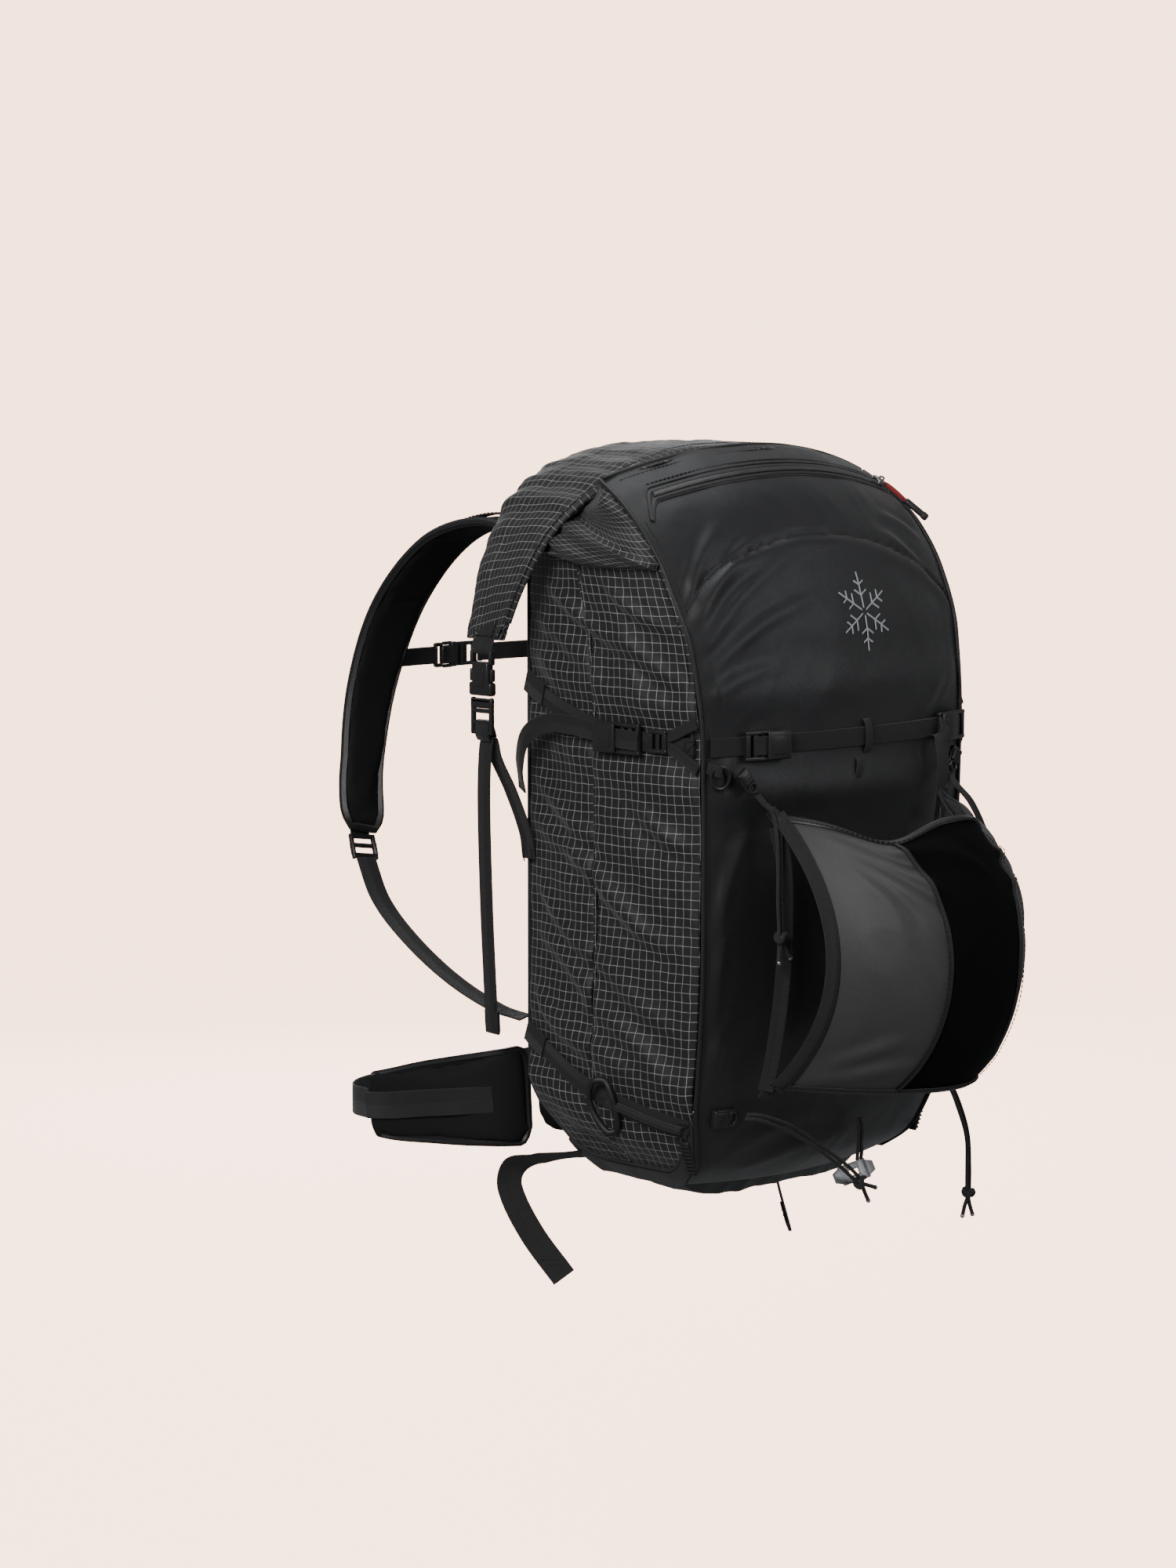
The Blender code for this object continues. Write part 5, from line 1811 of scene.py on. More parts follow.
@dataclass
class FrontZip:
    """Arched zip near the top of the front, with its welts, slider and pull."""

    height: float = 0.455
    reach: float = 0.84
    rest: float = 0.8
    pitch: float = 0.0016

    def row(self, shift: float, lift: float, count: int = 150, reach: float | None = None) -> np.ndarray:
        """Places along the zip, shifted up the panel and lifted off it."""
        edge = self.reach if reach is None else reach
        share = np.linspace(-edge, edge, count)
        drop = 0.022 * np.clip((np.abs(share) - self.reach) / 0.11, 0.0, None) ** 1.5
        pinch = 1.0 - 0.85 * np.clip((np.abs(share) - self.reach) / 0.09, 0.0, 1.0) ** 2
        stops = [(float(s), self.height + shift * float(k) - float(d), lift) for s, d,
                 k in zip(share, drop, pinch)]
        return np.array(SHAPE.front_row(stops))

    def across(self) -> Vector:
        """Direction of the tape's width."""
        normal = SHAPE.front_frame(0.0, self.height).to_3x3().col[2]
        return normal.cross(Vector((1, 0, 0)))

    def build(self) -> None:
        """Makes the whole zip."""
        up = np.array(self.across())
        for name, shift in (("upper", 0.0026), ("lower", -0.0026)):
            row = self.row(shift, 0.002, reach=self.reach + 0.09)
            tape = swept_object("zip_tape_" + name, row, up, strap_section(0.0036, 0.0008), ZIP_TAPE)
            settle(tape, "pack", "zip_coil", *(("zip_tape",) if name == "upper" else ()))
        coil = bmesh.new()
        count = int(length_of(self.row(0, 0.0026)) / self.pitch)
        for k in range(count):
            s = -self.reach + 2 * self.reach * (k + 0.5) / count
            seat = SHAPE.front_frame(s, self.height, 0.0029)
            for side in HANDS:
                made = bmesh.ops.create_cube(coil, size=1.0)["verts"]
                bmesh.ops.scale(coil, vec=(self.pitch * 0.55, 0.0026, 0.0009), verts=made)
                for vert in made:
                    vert.co.z *= 0.6 if abs(vert.co.y) > 0.0012 and vert.co.y * side > 0 else 1.0
                turn = Matrix.Translation((side * self.pitch * 0.25, side * 0.0009,
                                           0)) @ Matrix.Rotation(0.25 * side, 4, "Z")
                bmesh.ops.transform(coil, matrix=seat @ turn, verts=made)
        settle(mesh_object("zip_teeth", coil, TEETH), "pack", "zip_coil")
        for name, shift in (("upper", 0.005), ("lower", -0.0048)):
            welt = swept_object("zip_welt_" + name, self.row(shift, 0.0018, reach=self.reach + 0.09), up,
                                round_section(0.0007), SHELL)
            settle(welt, "pack", "shell_fabric")
        sewing = bmesh.new()
        out = np.array([SHAPE.front_frame(float(s), self.height, 0).to_3x3().col[2]
                        for s in np.linspace(-self.reach, self.reach, 150)])
        stitches(sewing, self.row(0.0072, 0.002), out)
        sewn("zip_sewing", sewing)
        self.build_slider()

    def build_slider(self) -> None:
        """Slider, red loop and black tab."""
        seat = SHAPE.front_frame(self.rest, self.height, 0.0058)
        bench = Workbench()
        bench.bar((0.011, 0.008, 0.0016), (0, 0, 0.001), 0.0007)
        bench.bar((0.006, 0.009, 0.0014), (-0.0022, 0, 0.0008), 0.0006)
        bench.bar((0.01, 0.0012, 0.0022), (0, 0.0038, -0.0006), 0.0005)
        bench.bar((0.01, 0.0012, 0.0022), (0, -0.0038, -0.0006), 0.0005)
        bench.rod(((-0.0036, 0, 0.0016), (-0.0024, 0, 0.0034), (0.001, 0, 0.004), (0.004, 0, 0.0034),
                   (0.005, 0, 0.0016)), 0.0008, False, 16)
        settle(bench.finish("zip_slider_body", seat, STEEL), "zip_slider", "slider_metal", "zip_slider")
        right, up, out = seat.to_3x3().col
        hang = seat.translation + right * 0.007
        down = (right * 0.5 - up * 0.85).normalized()
        flat = frame_at(hang, down, out)
        loop = Workbench()
        loop.rod(((0.0, 0.0, 0.0), (0.004, 0.0026, 0.0006), (0.012, 0.0034, 0.0008), (0.022, 0.0026, 0.0004),
                  (0.0255, 0.0, 0.0004), (0.022, -0.0026, 0.0004), (0.012, -0.0034, 0.0008),
                  (0.004, -0.0026, 0.0006), (0.0, 0.0, 0.0)), 0.0012, True, 49)
        settle(loop.finish("zip_pull_loop", flat, RED_SHEATH), "zip_pull", "pull_cord", "zip_pull")
        tab = Workbench()
        tab.bar((0.023, 0.0082, 0.0046), (0.0345, 0, 0.0006), 0.0018)
        tab.bar((0.006, 0.01, 0.0052), (0.043, 0, 0.0006), 0.0018)
        tab.bar((0.004, 0.006, 0.004), (0.0235, 0, 0), 0.0014)
        for k in range(4):
            tab.bar((0.001, 0.0066, 0.0008), (0.03 + 0.003 * k, 0, 0.0018), 0.0003)
        settle(tab.finish("zip_pull_tab", flat, RUBBER), "zip_pull", "pull_cord")


# ---------------------------------------------------------------- compression straps

@dataclass
class CompressionStraps:
    """Straps round the sides and front, with their buckles, sleeves, loops and tails."""

    upper: tuple = ((0.985, 0.292), (0.8, 0.277), (0.6, 0.265), (0.4, 0.257), (0.2, 0.253), (0.03, 0.252))
    lower: tuple = ((0.985, 0.012), (0.8, -0.004), (0.6, -0.019), (0.4, -0.03), (0.2, -0.038), (0.03, -0.043))

    def route(self, hand: int, stops: Sequence, lift: float = STRAP_LIFT) -> list[Vector]:
        """Places on a side at a lift, from its parameter stops."""
        return SHAPE.side_row(hand, [(v, t, lift) for v, t in stops])

    def ribbon(self, name: str, route: Sequence, across: Sequence[float], width: float, body: str = "pack",
               nodes: tuple[str, ...] = (), count: int = 60, thick: float = 0.0014) -> bpy.types.Object:
        """Makes a webbing strap.

        Args:
            name: the piece's name.
            route: its route.
            across: rough direction of its width.
            width: its width.
            body: the body it rides on.
            nodes: CAD nodes it stands for.
            count: points along it.
            thick: its thickness.
        Returns:
            The strap.
        """
        ob = swept_object(name, smooth_route(route, count), across, strap_section(width, thick), STRAP)
        return settle(ob, body, "webbing", *nodes)

    def box_stitch(self, bm: bmesh.types.BMesh, matrix: Matrix, length: float, width: float) -> None:
        """Sews a rectangle with its two diagonals on a matrix's plane."""
        a, b = length / 2, width / 2
        corners = [(-a, -b), (a, -b), (a, b), (-a, b), (-a, -b), (a, b)]
        out = np.array(matrix.to_3x3().col[2])
        for start, end in zip(corners, corners[1:]):
            row = np.array([matrix @ Vector((*p, 0.0)) for p in np.linspace(start, end, 6)])
            stitches(bm, row, np.tile(out, (6, 1)), 0.0019, 0.0008, 0.00026)

    def build_side(self, hand: int) -> None:
        """Both straps of a side and all that hangs on them."""
        self.ribbon(hand_name(hand, "upper_side_webbing"), self.route(hand, self.upper), (0, 0, 1),
                    STRAP_WIDTH,
                    nodes=(hand_name(hand, "upper_side_strap"),))
        self.ribbon(hand_name(hand, "lower_side_webbing"), self.route(hand, self.lower), (0, 0, 1),
                    STRAP_WIDTH,
                    nodes=(hand_name(hand, "lower_side_strap"),))
        seat = SHAPE.side_frame(hand, 0.36, 0.2555, 0.0065)
        buckle = LadderBuckle(0.046, 0.024, 0.0044, (-0.0208, -0.0126, -0.0045, 0.02), 0.5)
        settle(buckle.build(hand_name(hand, "side_ladder"), seat @ Matrix.Translation((0.004, 0.0, 0.0))),
               hand_name(hand, "side_buckle"),
               "black_plastic", hand_name(hand, "side_buckle"))
        self.ribbon(hand_name(hand, "side_lacing"), self.route(hand, ((0.27, 0.2545), (0.315, 0.255),
                                                                      (0.34, 0.2553),
                                                           (0.385, 0.2557),
                                                           (0.42, 0.2565)), 0.0092), (0, 0, 1), STRAP_WIDTH,
                    hand_name(hand, "side_buckle"), count=24)
        tail = SHAPE.side_row(hand, ((0.4, 0.256, 0.0092), (0.5, 0.259, 0.0085), (0.62, 0.262, 0.0105),
                                     (0.74, 0.262, 0.016), (0.86, 0.25, 0.02), (0.925, 0.228, 0.018),
                                     (0.955, 0.205, 0.012)))
        row = smooth_route(tail, 60)
        twist = np.stack([np.zeros(60), np.linspace(0, -0.8, 60) ** 3 * -1.0, np.ones(60)], axis=1)
        tail_ob = swept_object(hand_name(hand, "side_tail"), row, twist, strap_section(STRAP_WIDTH, 0.0013),
                               STRAP)
        settle(tail_ob, hand_name(hand, "side_buckle"), "webbing")
        sewing = bmesh.new()
        for v, t, lift in ((0.955, 0.2895, 0.004), (0.955, 0.0095, 0.004), (0.045, 0.252, 0.004),
                           (0.05, -0.0425, 0.004)):
            self.box_stitch(sewing, SHAPE.side_frame(hand, v, t, lift), 0.01, 0.01)
        sewn(hand_name(hand, "strap_sewing"), sewing)
        for label, v, t in (("upper_sleeve", 0.93, 0.2885), ("lower_sleeve", 0.93, 0.0075)):
            route = self.route(hand, ((v - 0.075, t - 0.006), (v, t), (v + 0.055, t + 0.005)), 0.0044)
            self.ribbon(hand_name(hand, label), route, (0, 0, 1), 0.019, count=16, thick=0.0016)
        for label, high, low in (("seam_loop_high", 0.272, 0.2585), ("seam_loop_low", 0.236, 0.2525)):
            route = self.route(hand, ((0.006, high), (0.05, high * 0.7 + low * 0.3),
                                      (0.11, high * 0.25 + low * 0.75), (0.16, low)), 0.0052)
            self.ribbon(hand_name(hand, label), route, (0, 0.2, 1), 0.009, count=20)
        hook = SHAPE.side_frame(hand, 0.185, 0.2555, 0.0066)
        settle(LadderBuckle(0.018, 0.018, 0.0036, (-0.0068, 0.0, 0.0064)).build(hand_name(hand, "side_hook"),
                                                                                hook),
               "pack",
               "black_plastic")
        stops = [(0.455 + 0.062 * math.cos(a),
                  -0.031 + 0.019 * math.sin(a)) for a in np.linspace(0.2, 2 * math.pi + 0.2, 17)]
        hang = smooth_route(SHAPE.side_row(hand, [(v, t, 0.0072 + 0.004 * (v > 0.46)) for v, t in stops]), 48)
        tube = swept_object(hand_name(hand, "gear_loop"), hang[:-1], (float(hand), 0.1, 0),
                            round_section(0.0026, 10),
                            RUBBER, True)
        run = self.route(hand, ((0.44, -0.0295), (0.36, -0.032), (0.25, -0.0365), (0.14, -0.0405),
                                (0.05, -0.0425)), 0.0062)
        sleeve = swept_object(hand_name(hand, "tube_sleeve"), smooth_route(run, 40), (float(hand), 0.1, 0),
                              round_section(0.0033, 10), STRAP)
        settle(sleeve, "pack", "webbing")
        settle(tube, "pack", "shock_cord")
        self.build_rib_tab(hand)

    def build_rib_tab(self, hand: int) -> None:
        """Ribbed rubber tab on the front seam below the lower strap."""
        bench = Workbench()
        bench.bar((0.0085, 0.03, 0.0036), (0, 0, 0), 0.0016)
        for k in range(8):
            bench.bar((0.008, 0.0016, 0.0022), (0, -0.0115 + 0.0033 * k, 0.0018), 0.0006)
        seat = SHAPE.side_frame(hand, 0.028, -0.066, 0.0036)
        settle(bench.finish(hand_name(hand, "rib_tab"), seat, RUBBER), "pack", "black_plastic")

    def build_front(self) -> None:
        """The strap across the front with its two buckles, keeper, ring and tail."""
        row = SHAPE.front_row([(0.965 * k / 8, STRAP_LEVEL, STRAP_LIFT) for k in range(-8, 9)])
        self.ribbon("front_webbing", row, (0, 0, 1), STRAP_WIDTH, nodes=("front_strap",), count=90)
        for hand, s in ((-1, -0.66), (1, 0.86)):
            seat = SHAPE.front_frame(s, STRAP_LEVEL, 0.0065)
            buckle = LadderBuckle(0.04, 0.023, 0.0042, (-0.0178, -0.0104, -0.003, 0.017), 0.54)
            turn = Matrix.Rotation(math.pi if hand > 0 else 0.0, 4,
                                   "Z") @ Matrix.Translation((0.003, 0.0, 0.0))
            settle(buckle.build(hand_name(hand, "front_ladder"), seat @ turn),
                   hand_name(hand, "front_buckle"),
                   "black_plastic", hand_name(hand, "front_buckle"))
            lace = SHAPE.front_row([(s + 0.02 * k, STRAP_LEVEL,
                                     0.009 - 0.0006 * abs(k)) for k in range(-3, 4)])
            self.ribbon(hand_name(hand, "front_lacing"), lace, (0, 0, 1), STRAP_WIDTH * 0.97,
                        hand_name(hand, "front_buckle"), count=24)
        tail = SHAPE.front_row(((0.8, 0.252, 0.0088), (0.72, 0.251, 0.009), (0.665, 0.243, 0.014),
                                (0.655, 0.222, 0.017), (0.665, 0.196, 0.015), (0.672, 0.178, 0.012)))
        row = smooth_route(tail, 60)
        spread = np.linspace(0, 1, 60)[:, None]
        lean = np.clip(spread * 2.6, 0, 1)
        turn = np.array([0.0, 0.0, 1.0]) * (1 - lean) + np.array([1.0, 0.1, 0.0]) * lean
        swept_piece("front_tail", row, turn, strap_section(STRAP_WIDTH, 0.0013), STRAP, "right_front_buckle",
                    "webbing")
        for label, s, t, wide, tall in (("keeper_loop", 0.1, 0.252, 0.008, 0.026),
                                        ("small_loop", 0.02, 0.226, 0.007, 0.02)):
            seat = SHAPE.front_frame(s, t, 0.0)
            lean = math.radians(14 if label == "small_loop" else 0)
            ring = [seat @ Vector((tall / 2 * math.sin(lean) * math.cos(a), tall / 2 * math.cos(a),
                                   0.0018 + 0.004 * abs(math.sin(a))))
                    for a in np.linspace(0, math.pi, 13)]
            across = seat.to_3x3().col[0]
            self.ribbon(label, ring, across, wide, count=30, thick=0.0012)
        seat = SHAPE.front_frame(-0.93, 0.231, 0.0072)
        ring = Workbench()
        ring.rod([(0.0085 * math.cos(a), 0.0095 * math.sin(a) * (0.75 if math.sin(a) > 0 else 1.0), 0)
                  for a in np.linspace(0, 2 * math.pi, 21)], 0.0015, True, 41)
        settle(ring.finish("front_ring", seat, PLASTIC), "pack", "black_plastic")
        loop = SHAPE.front_row(((-0.985, 0.237, 0.0022), (-0.955, 0.235, 0.0086), (-0.93, 0.2345, 0.0096)))
        self.ribbon("ring_webbing", loop, (0, 0, 1), 0.009, count=14)

    def build(self) -> None:
        """Makes every compression strap."""
        for hand in HANDS:
            self.build_side(hand)
        self.build_front()


# ---------------------------------------------------------------- helmet carrier

@dataclass
class HelmetCarrier:
    """Stretch panel in three widths, bound at its edge and hung by a hook at each corner."""

    half: float = 0.096
    low: float = -0.01
    high: float = 0.2
    depth: float = 0.248
    bulge: float = 0.14
    round_across: float = 0.8
    round_up: float = 0.49
    dip: float = 0.018
    band: float = 0.037
    gathers: tuple[Fold, ...] = (
        Fold((-0.094, 0.198), (-0.005, 0.176), 0.005, 0.0044),
        Fold((-0.095, 0.196), (0.01, 0.155), 0.0055, 0.004),
        Fold((-0.094, 0.191), (-0.022, 0.132), 0.0055, 0.0032),
        Fold((-0.092, 0.184), (-0.04, 0.112), 0.0055, 0.0024),
        Fold((-0.09, 0.176), (-0.065, 0.105), 0.005, 0.0018),
        Fold((-0.07, 0.2), (0.04, 0.189), 0.004, 0.0036),
        Fold((0.094, 0.198), (0.02, 0.172), 0.005, 0.0046),
        Fold((0.094, 0.192), (0.03, 0.145), 0.0055, 0.0044),
        Fold((0.092, 0.182), (0.05, 0.11), 0.0055, 0.0038),
        Fold((-0.094, -0.008), (-0.04, 0.016), 0.006, 0.0022),
        Fold((-0.094, -0.004), (-0.055, 0.04), 0.006, 0.0018),
        Fold((0.094, -0.008), (0.04, 0.018), 0.006, 0.0022),
        Fold((0.093, -0.002), (0.055, 0.042), 0.006, 0.0018),
    )

    def dome(self, x: np.ndarray, z: np.ndarray) -> np.ndarray:
        """Places on the stretched panel."""
        across = (x / self.half) ** 2
        along = ((2 * z - self.low - self.high) / (self.high - self.low)) ** 2
        corner = math.sqrt((1 - self.round_across) * (1 - self.round_up))
        rise = np.sqrt((1 - self.round_across * across) * (1 - self.round_up * along))
        rise = rise - corner * across * along
        dip = self.dip * bell(np.abs(x) - 0.052, 0.024) * np.clip((z - 0.11) / 0.09, 0, 1) ** 2
        return np.stack([x * (1 + 0.06 * (1 - along)), -(self.depth + self.bulge * rise), z - dip], axis=-1)

    def lift(self, x: np.ndarray, z: np.ndarray) -> np.ndarray:
        """Gathers from the corners and soft waves."""
        at = np.stack([x, z], axis=-1)
        made = sum(fold.lift(at) for fold in self.gathers)
        soft = crumple(at, 130.0, (14.0, 9.0), 0.0018)
        inside = edge_fade(x, -self.half, self.half, 0.012) * edge_fade(z, self.low, self.high, 0.014)
        return np.clip((made + soft) * inside, -0.006, 0.006)

    def edge(self, z: np.ndarray, side: int) -> np.ndarray:
        """The seam between the outer and middle widths, waisted at mid height."""
        share = (2 * z - self.low - self.high) / (self.high - self.low)
        return side * (self.band + 0.01 * share ** 2 + 0.002 * share)

    def build_panels(self) -> None:
        """The three widths of cloth."""
        for name, side, finish in (("left_width", -1, STRETCH), ("mesh_width", 0, BLACK_MESH),
                                   ("right_width", 1, STRETCH)):
            def place(u: np.ndarray, z: np.ndarray, side: int = side) -> np.ndarray:
                """Places across one width."""
                left = -self.half if side < 0 else self.edge(z, 1 if side > 0 else -1)
                right = self.half if side > 0 else self.edge(z, -1 if side < 0 else 1)
                return self.dome(left * (1 - u) + right * u, z)

            def lift(flat: np.ndarray, u: np.ndarray, z: np.ndarray, side: int = side) -> np.ndarray:
                """Lift of one width."""
                x = place(u, z)[..., 0]
                seam = np.minimum(np.abs(x - self.edge(z, -1)), np.abs(x - self.edge(z, 1)))
                return self.lift(x, z) + valley(seam, 0.0022, 0.0009)

            ob = panel("carrier_" + name, place, (0.0, 1.0), (self.low, self.high), (70, 130), lift, finish,
                       (0, -1, 0),
                       0.0009)
            settle(ob, "helmet_carrier", "stretch_mesh", *(("carrier_panel",) if side == 0 else ()))
            tall = length_of(place(np.full(131, 0.5), np.linspace(self.low, self.high, 131)))

    def skin(self, x: np.ndarray, z: np.ndarray, grow: float) -> tuple[np.ndarray, np.ndarray]:
        """Places on the gathered cloth, raised by grow, and the outward directions there."""
        step = 0.001
        normal = unit(np.cross(self.dome(x + step, z) - self.dome(x - step, z),
                               self.dome(x, z + step) - self.dome(x, z - step)))
        return self.dome(x, z) + normal * (self.lift(x, z) + grow)[:, None], normal

    def build_binding(self) -> None:
        """Bound edges, hems, seams and their sewing."""
        share = np.linspace(-1.0, 1.0, 90)
        middle, half_tall = (self.low + self.high) / 2, (self.high - self.low) / 2
        sewing = bmesh.new()
        for label, way, wide, finish in (("low", (0, 1), 0.006, SHELL), ("top", (0, -1), 0.006, SHELL),
                                         ("left", (1, 0), 0.0115, STRAP), ("right", (-1, 0), 0.0115, STRAP)):
            x = share * self.half if way[1] else np.full_like(share, -self.half * way[0])
            z = middle + (share if way[0] else np.full_like(share, -float(way[1]))) * half_tall
            edge = self.dome(x, z)
            pace = np.linalg.norm(self.dome(x + 0.001 * way[0], z + 0.001 * way[1]) - edge, axis=1) / 0.001
            inner, out = self.skin(x + way[0] * wide / pace, z + way[1] * wide / pace, 0.0006)
            strip = swept_object("carrier_binding_" + label, (edge + inner) / 2 + out * 0.0006, inner - edge,
                                 strap_section(wide, 0.002), finish)
            settle(strip, "helmet_carrier", "lining_fabric")
            stitches(sewing, inner * 0.85 + edge * 0.15 + out * 0.002, out)
        z = np.linspace(self.low + 0.003, self.high - 0.003, 90)
        for side in HANDS:
            row, out = self.skin(self.edge(z, side), z, 0.0006)
            strip = swept_object("carrier_seam_" + ("left" if side < 0 else "right"), row, (1, 0, 0),
                                 strap_section(0.0042, 0.0012), LINING)
            settle(strip, "helmet_carrier", "lining_fabric")
            stitches(sewing, row + out * 0.0008 + np.array([0.0032 * side, 0, 0]), out)
        sewn("carrier_sewing", sewing, "helmet_carrier")

    def build_corners(self) -> None:
        """Hooks, corner tabs and the inner strap of each side."""
        straps = CompressionStraps()
        for hand in HANDS:
            hook = frame_at((0.118 * hand, -0.244, 0.226), (-0.55 * hand, -0.15, -0.8), (0, -1, 0))
            settle(CordHook().build(hand_name(hand, "upper_hook"), hook), "helmet_carrier", "black_plastic",
                   hand_name(hand, "upper_cord_hook"))
            tab = handed(hand, ((0.099, -0.25, 0.2035), (0.0955, -0.2515, 0.1985), (0.089, -0.264, 0.19),
                                (0.08, -0.284, 0.18)))
            straps.ribbon(hand_name(hand, "corner_tab"), tab, (0.7 * hand, 0, -0.7), 0.011, "helmet_carrier",
                          (), 20, 0.0018)
            foot = handed(hand, ((0.1, -0.244, -0.019), (0.096, -0.25, -0.01), (0.089, -0.264, -0.001),
                                 (0.081, -0.282, 0.009)))
            straps.ribbon(hand_name(hand, "foot_tab"), foot, (0.7 * hand, 0, 0.7), 0.011, "helmet_carrier",
                          (), 20, 0.0018)
            inner = handed(hand, ((0.0945, -0.252, 0.19), (0.09, -0.256, 0.16), (0.0885, -0.256, 0.11),
                                  (0.09, -0.2535, 0.06), (0.096, -0.25, 0.01), (0.101, -0.248, -0.012)))
            row = smooth_route(inner, 60)
            ob = swept_object(hand_name(hand, "inner_strap"), row, (-0.72 * hand, -0.69, 0),
                              strap_section(0.012, 0.0016), STRAP)
            settle(ob, "helmet_carrier", "webbing")
            link = handed(hand, ((0.1015, -0.2505, 0.204), (0.104, -0.2495, 0.207), (0.1075, -0.248, 0.2105)))
            ob = swept_object(hand_name(hand, "corner_cord"), smooth_route(link, 10), (0, 1, 0),
                              round_section(0.0014), CORD_SHEATH)
            settle(ob, "helmet_carrier", "shock_cord")
            seat = SHAPE.front_frame(0.84 * hand, -0.034, 0.005)
            turn = Matrix.Rotation(math.pi if hand > 0 else 0.0, 4, "Z")
            hook = CordHook(0.022, 0.015).build(hand_name(hand, "lower_lock"), seat @ turn)
            settle(hook, "pack", "black_plastic", hand_name(hand, "lower_cord_buckle"))

    def build(self) -> None:
        """Makes the whole carrier."""
        self.build_corners()
        self.build_panels()
        self.build_binding()


@dataclass
class AxeToggle:
    """Light metal plate on a short doubled cord."""

    half_length: float = 0.023
    half_width: float = 0.008

    def build(self) -> bpy.types.Object:
        """Makes the plate with its slot and rolled edges."""
        flat = frame_at((0.021, -0.229, -0.0955), (1, 0, 0.1), (0, -0.9, 0.43))
        bench = Workbench()
        a, b = self.half_length, self.half_width
        bench.bar((0.01, 2 * b, 0.0023), (-0.0105, 0, 0), 0.0008).bar((0.01, 2 * b, 0.0023), (0.0105, 0, 0),
                                                                      0.0008)
        for side in HANDS:
            bench.bar((0.015, 0.0058, 0.0023), (0, side * 0.005, 0), 0.0008)
            made = bmesh.ops.create_cube(bench.bm, size=1.0)["verts"]
            bmesh.ops.scale(bench.bm, vec=(0.012, 2 * b, 0.0023), verts=made)
            for vert in made:
                if vert.co.x * side > 0:
                    vert.co.y *= 0.5
            edges = list({e for v in made for e in v.link_edges})
            done = bmesh.ops.bevel(bench.bm, geom=edges, offset=0.0007, segments=2, profile=0.5,
                                   affect="EDGES", material=-1)
            verts = list({v for f in done["faces"] for v in f.verts})
            bmesh.ops.translate(bench.bm, vec=(side * 0.0168, 0, 0), verts=verts)
        return settle(bench.finish("toggle_plate", flat, ALUMINIUM), "axe_toggle", "aluminium", "axe_toggle")


# ---------------------------------------------------------------- back and harness

class PadShop:
    """Collects padded pieces, and swells them all in one run of the cloth solver."""

    def __init__(self) -> None:
        """Starts with no pads."""
        self.jobs: list[tuple[bpy.types.Object, float, Callable | None]] = []

    def add(self, ob: bpy.types.Object, cap: float, after: Callable | None = None) -> None:
        """Adds a pad, the most that its points may move, and what is done to its points after."""
        self.jobs.append((ob, cap, after))

    def bake(self, ob: bpy.types.Object) -> None:
        """Keeps what the modifiers make as the mesh, and removes them."""
        graph = bpy.context.evaluated_depsgraph_get()
        made = bpy.data.meshes.new_from_object(ob.evaluated_get(graph))
        ob.modifiers.clear()
        old, ob.data = ob.data, made
        bpy.data.meshes.remove(old)

    def run(self) -> None:
        """Remeshes, swells and smooths every pad."""
        scene = bpy.context.scene
        for ob, _, _ in self.jobs:
            even = ob.modifiers.new("even", "REMESH")
            even.mode, even.voxel_size = "VOXEL", 0.0048
            self.bake(ob)
        rest = [np.array([v.co for v in ob.data.vertices]) for ob, _, _ in self.jobs]
        scene.frame_start, scene.frame_end = 1, 20
        for ob, _, _ in self.jobs:
            air = ob.modifiers.new("air", "CLOTH")
            air.settings.quality = 5
            air.settings.use_pressure = True
            air.settings.uniform_pressure_force = 4.0
            air.settings.effector_weights.gravity = 0.0
            air.point_cache.frame_start, air.point_cache.frame_end = 1, 20
        for number in range(1, 21):
            scene.frame_set(number)
        graph = bpy.context.evaluated_depsgraph_get()
        swelled = []
        for ob, _, _ in self.jobs:
            mesh = ob.evaluated_get(graph).to_mesh()
            swelled.append(np.array([v.co for v in mesh.vertices]))
        for (ob, cap, _), start, end in zip(self.jobs, rest, swelled):
            ob.modifiers.clear()
            move = end - start
            far = np.linalg.norm(move, axis=1, keepdims=True)
            moved = start + move * np.minimum(1.0, cap / np.maximum(far, 1e-9))
            for vert, place in zip(ob.data.vertices, moved):
                vert.co = place
        scene.frame_set(1)
        for ob, _, after in self.jobs:
            fine = ob.modifiers.new("fine", "SUBSURF")
            fine.levels = fine.render_levels = 1
            self.bake(ob)
            ob.data.shade_smooth()
            if after:
                row = np.array([v.co for v in ob.data.vertices])
                normals = np.array([v.normal for v in ob.data.vertices])
                for vert, place in zip(ob.data.vertices, after(row, normals)):
                    vert.co = place


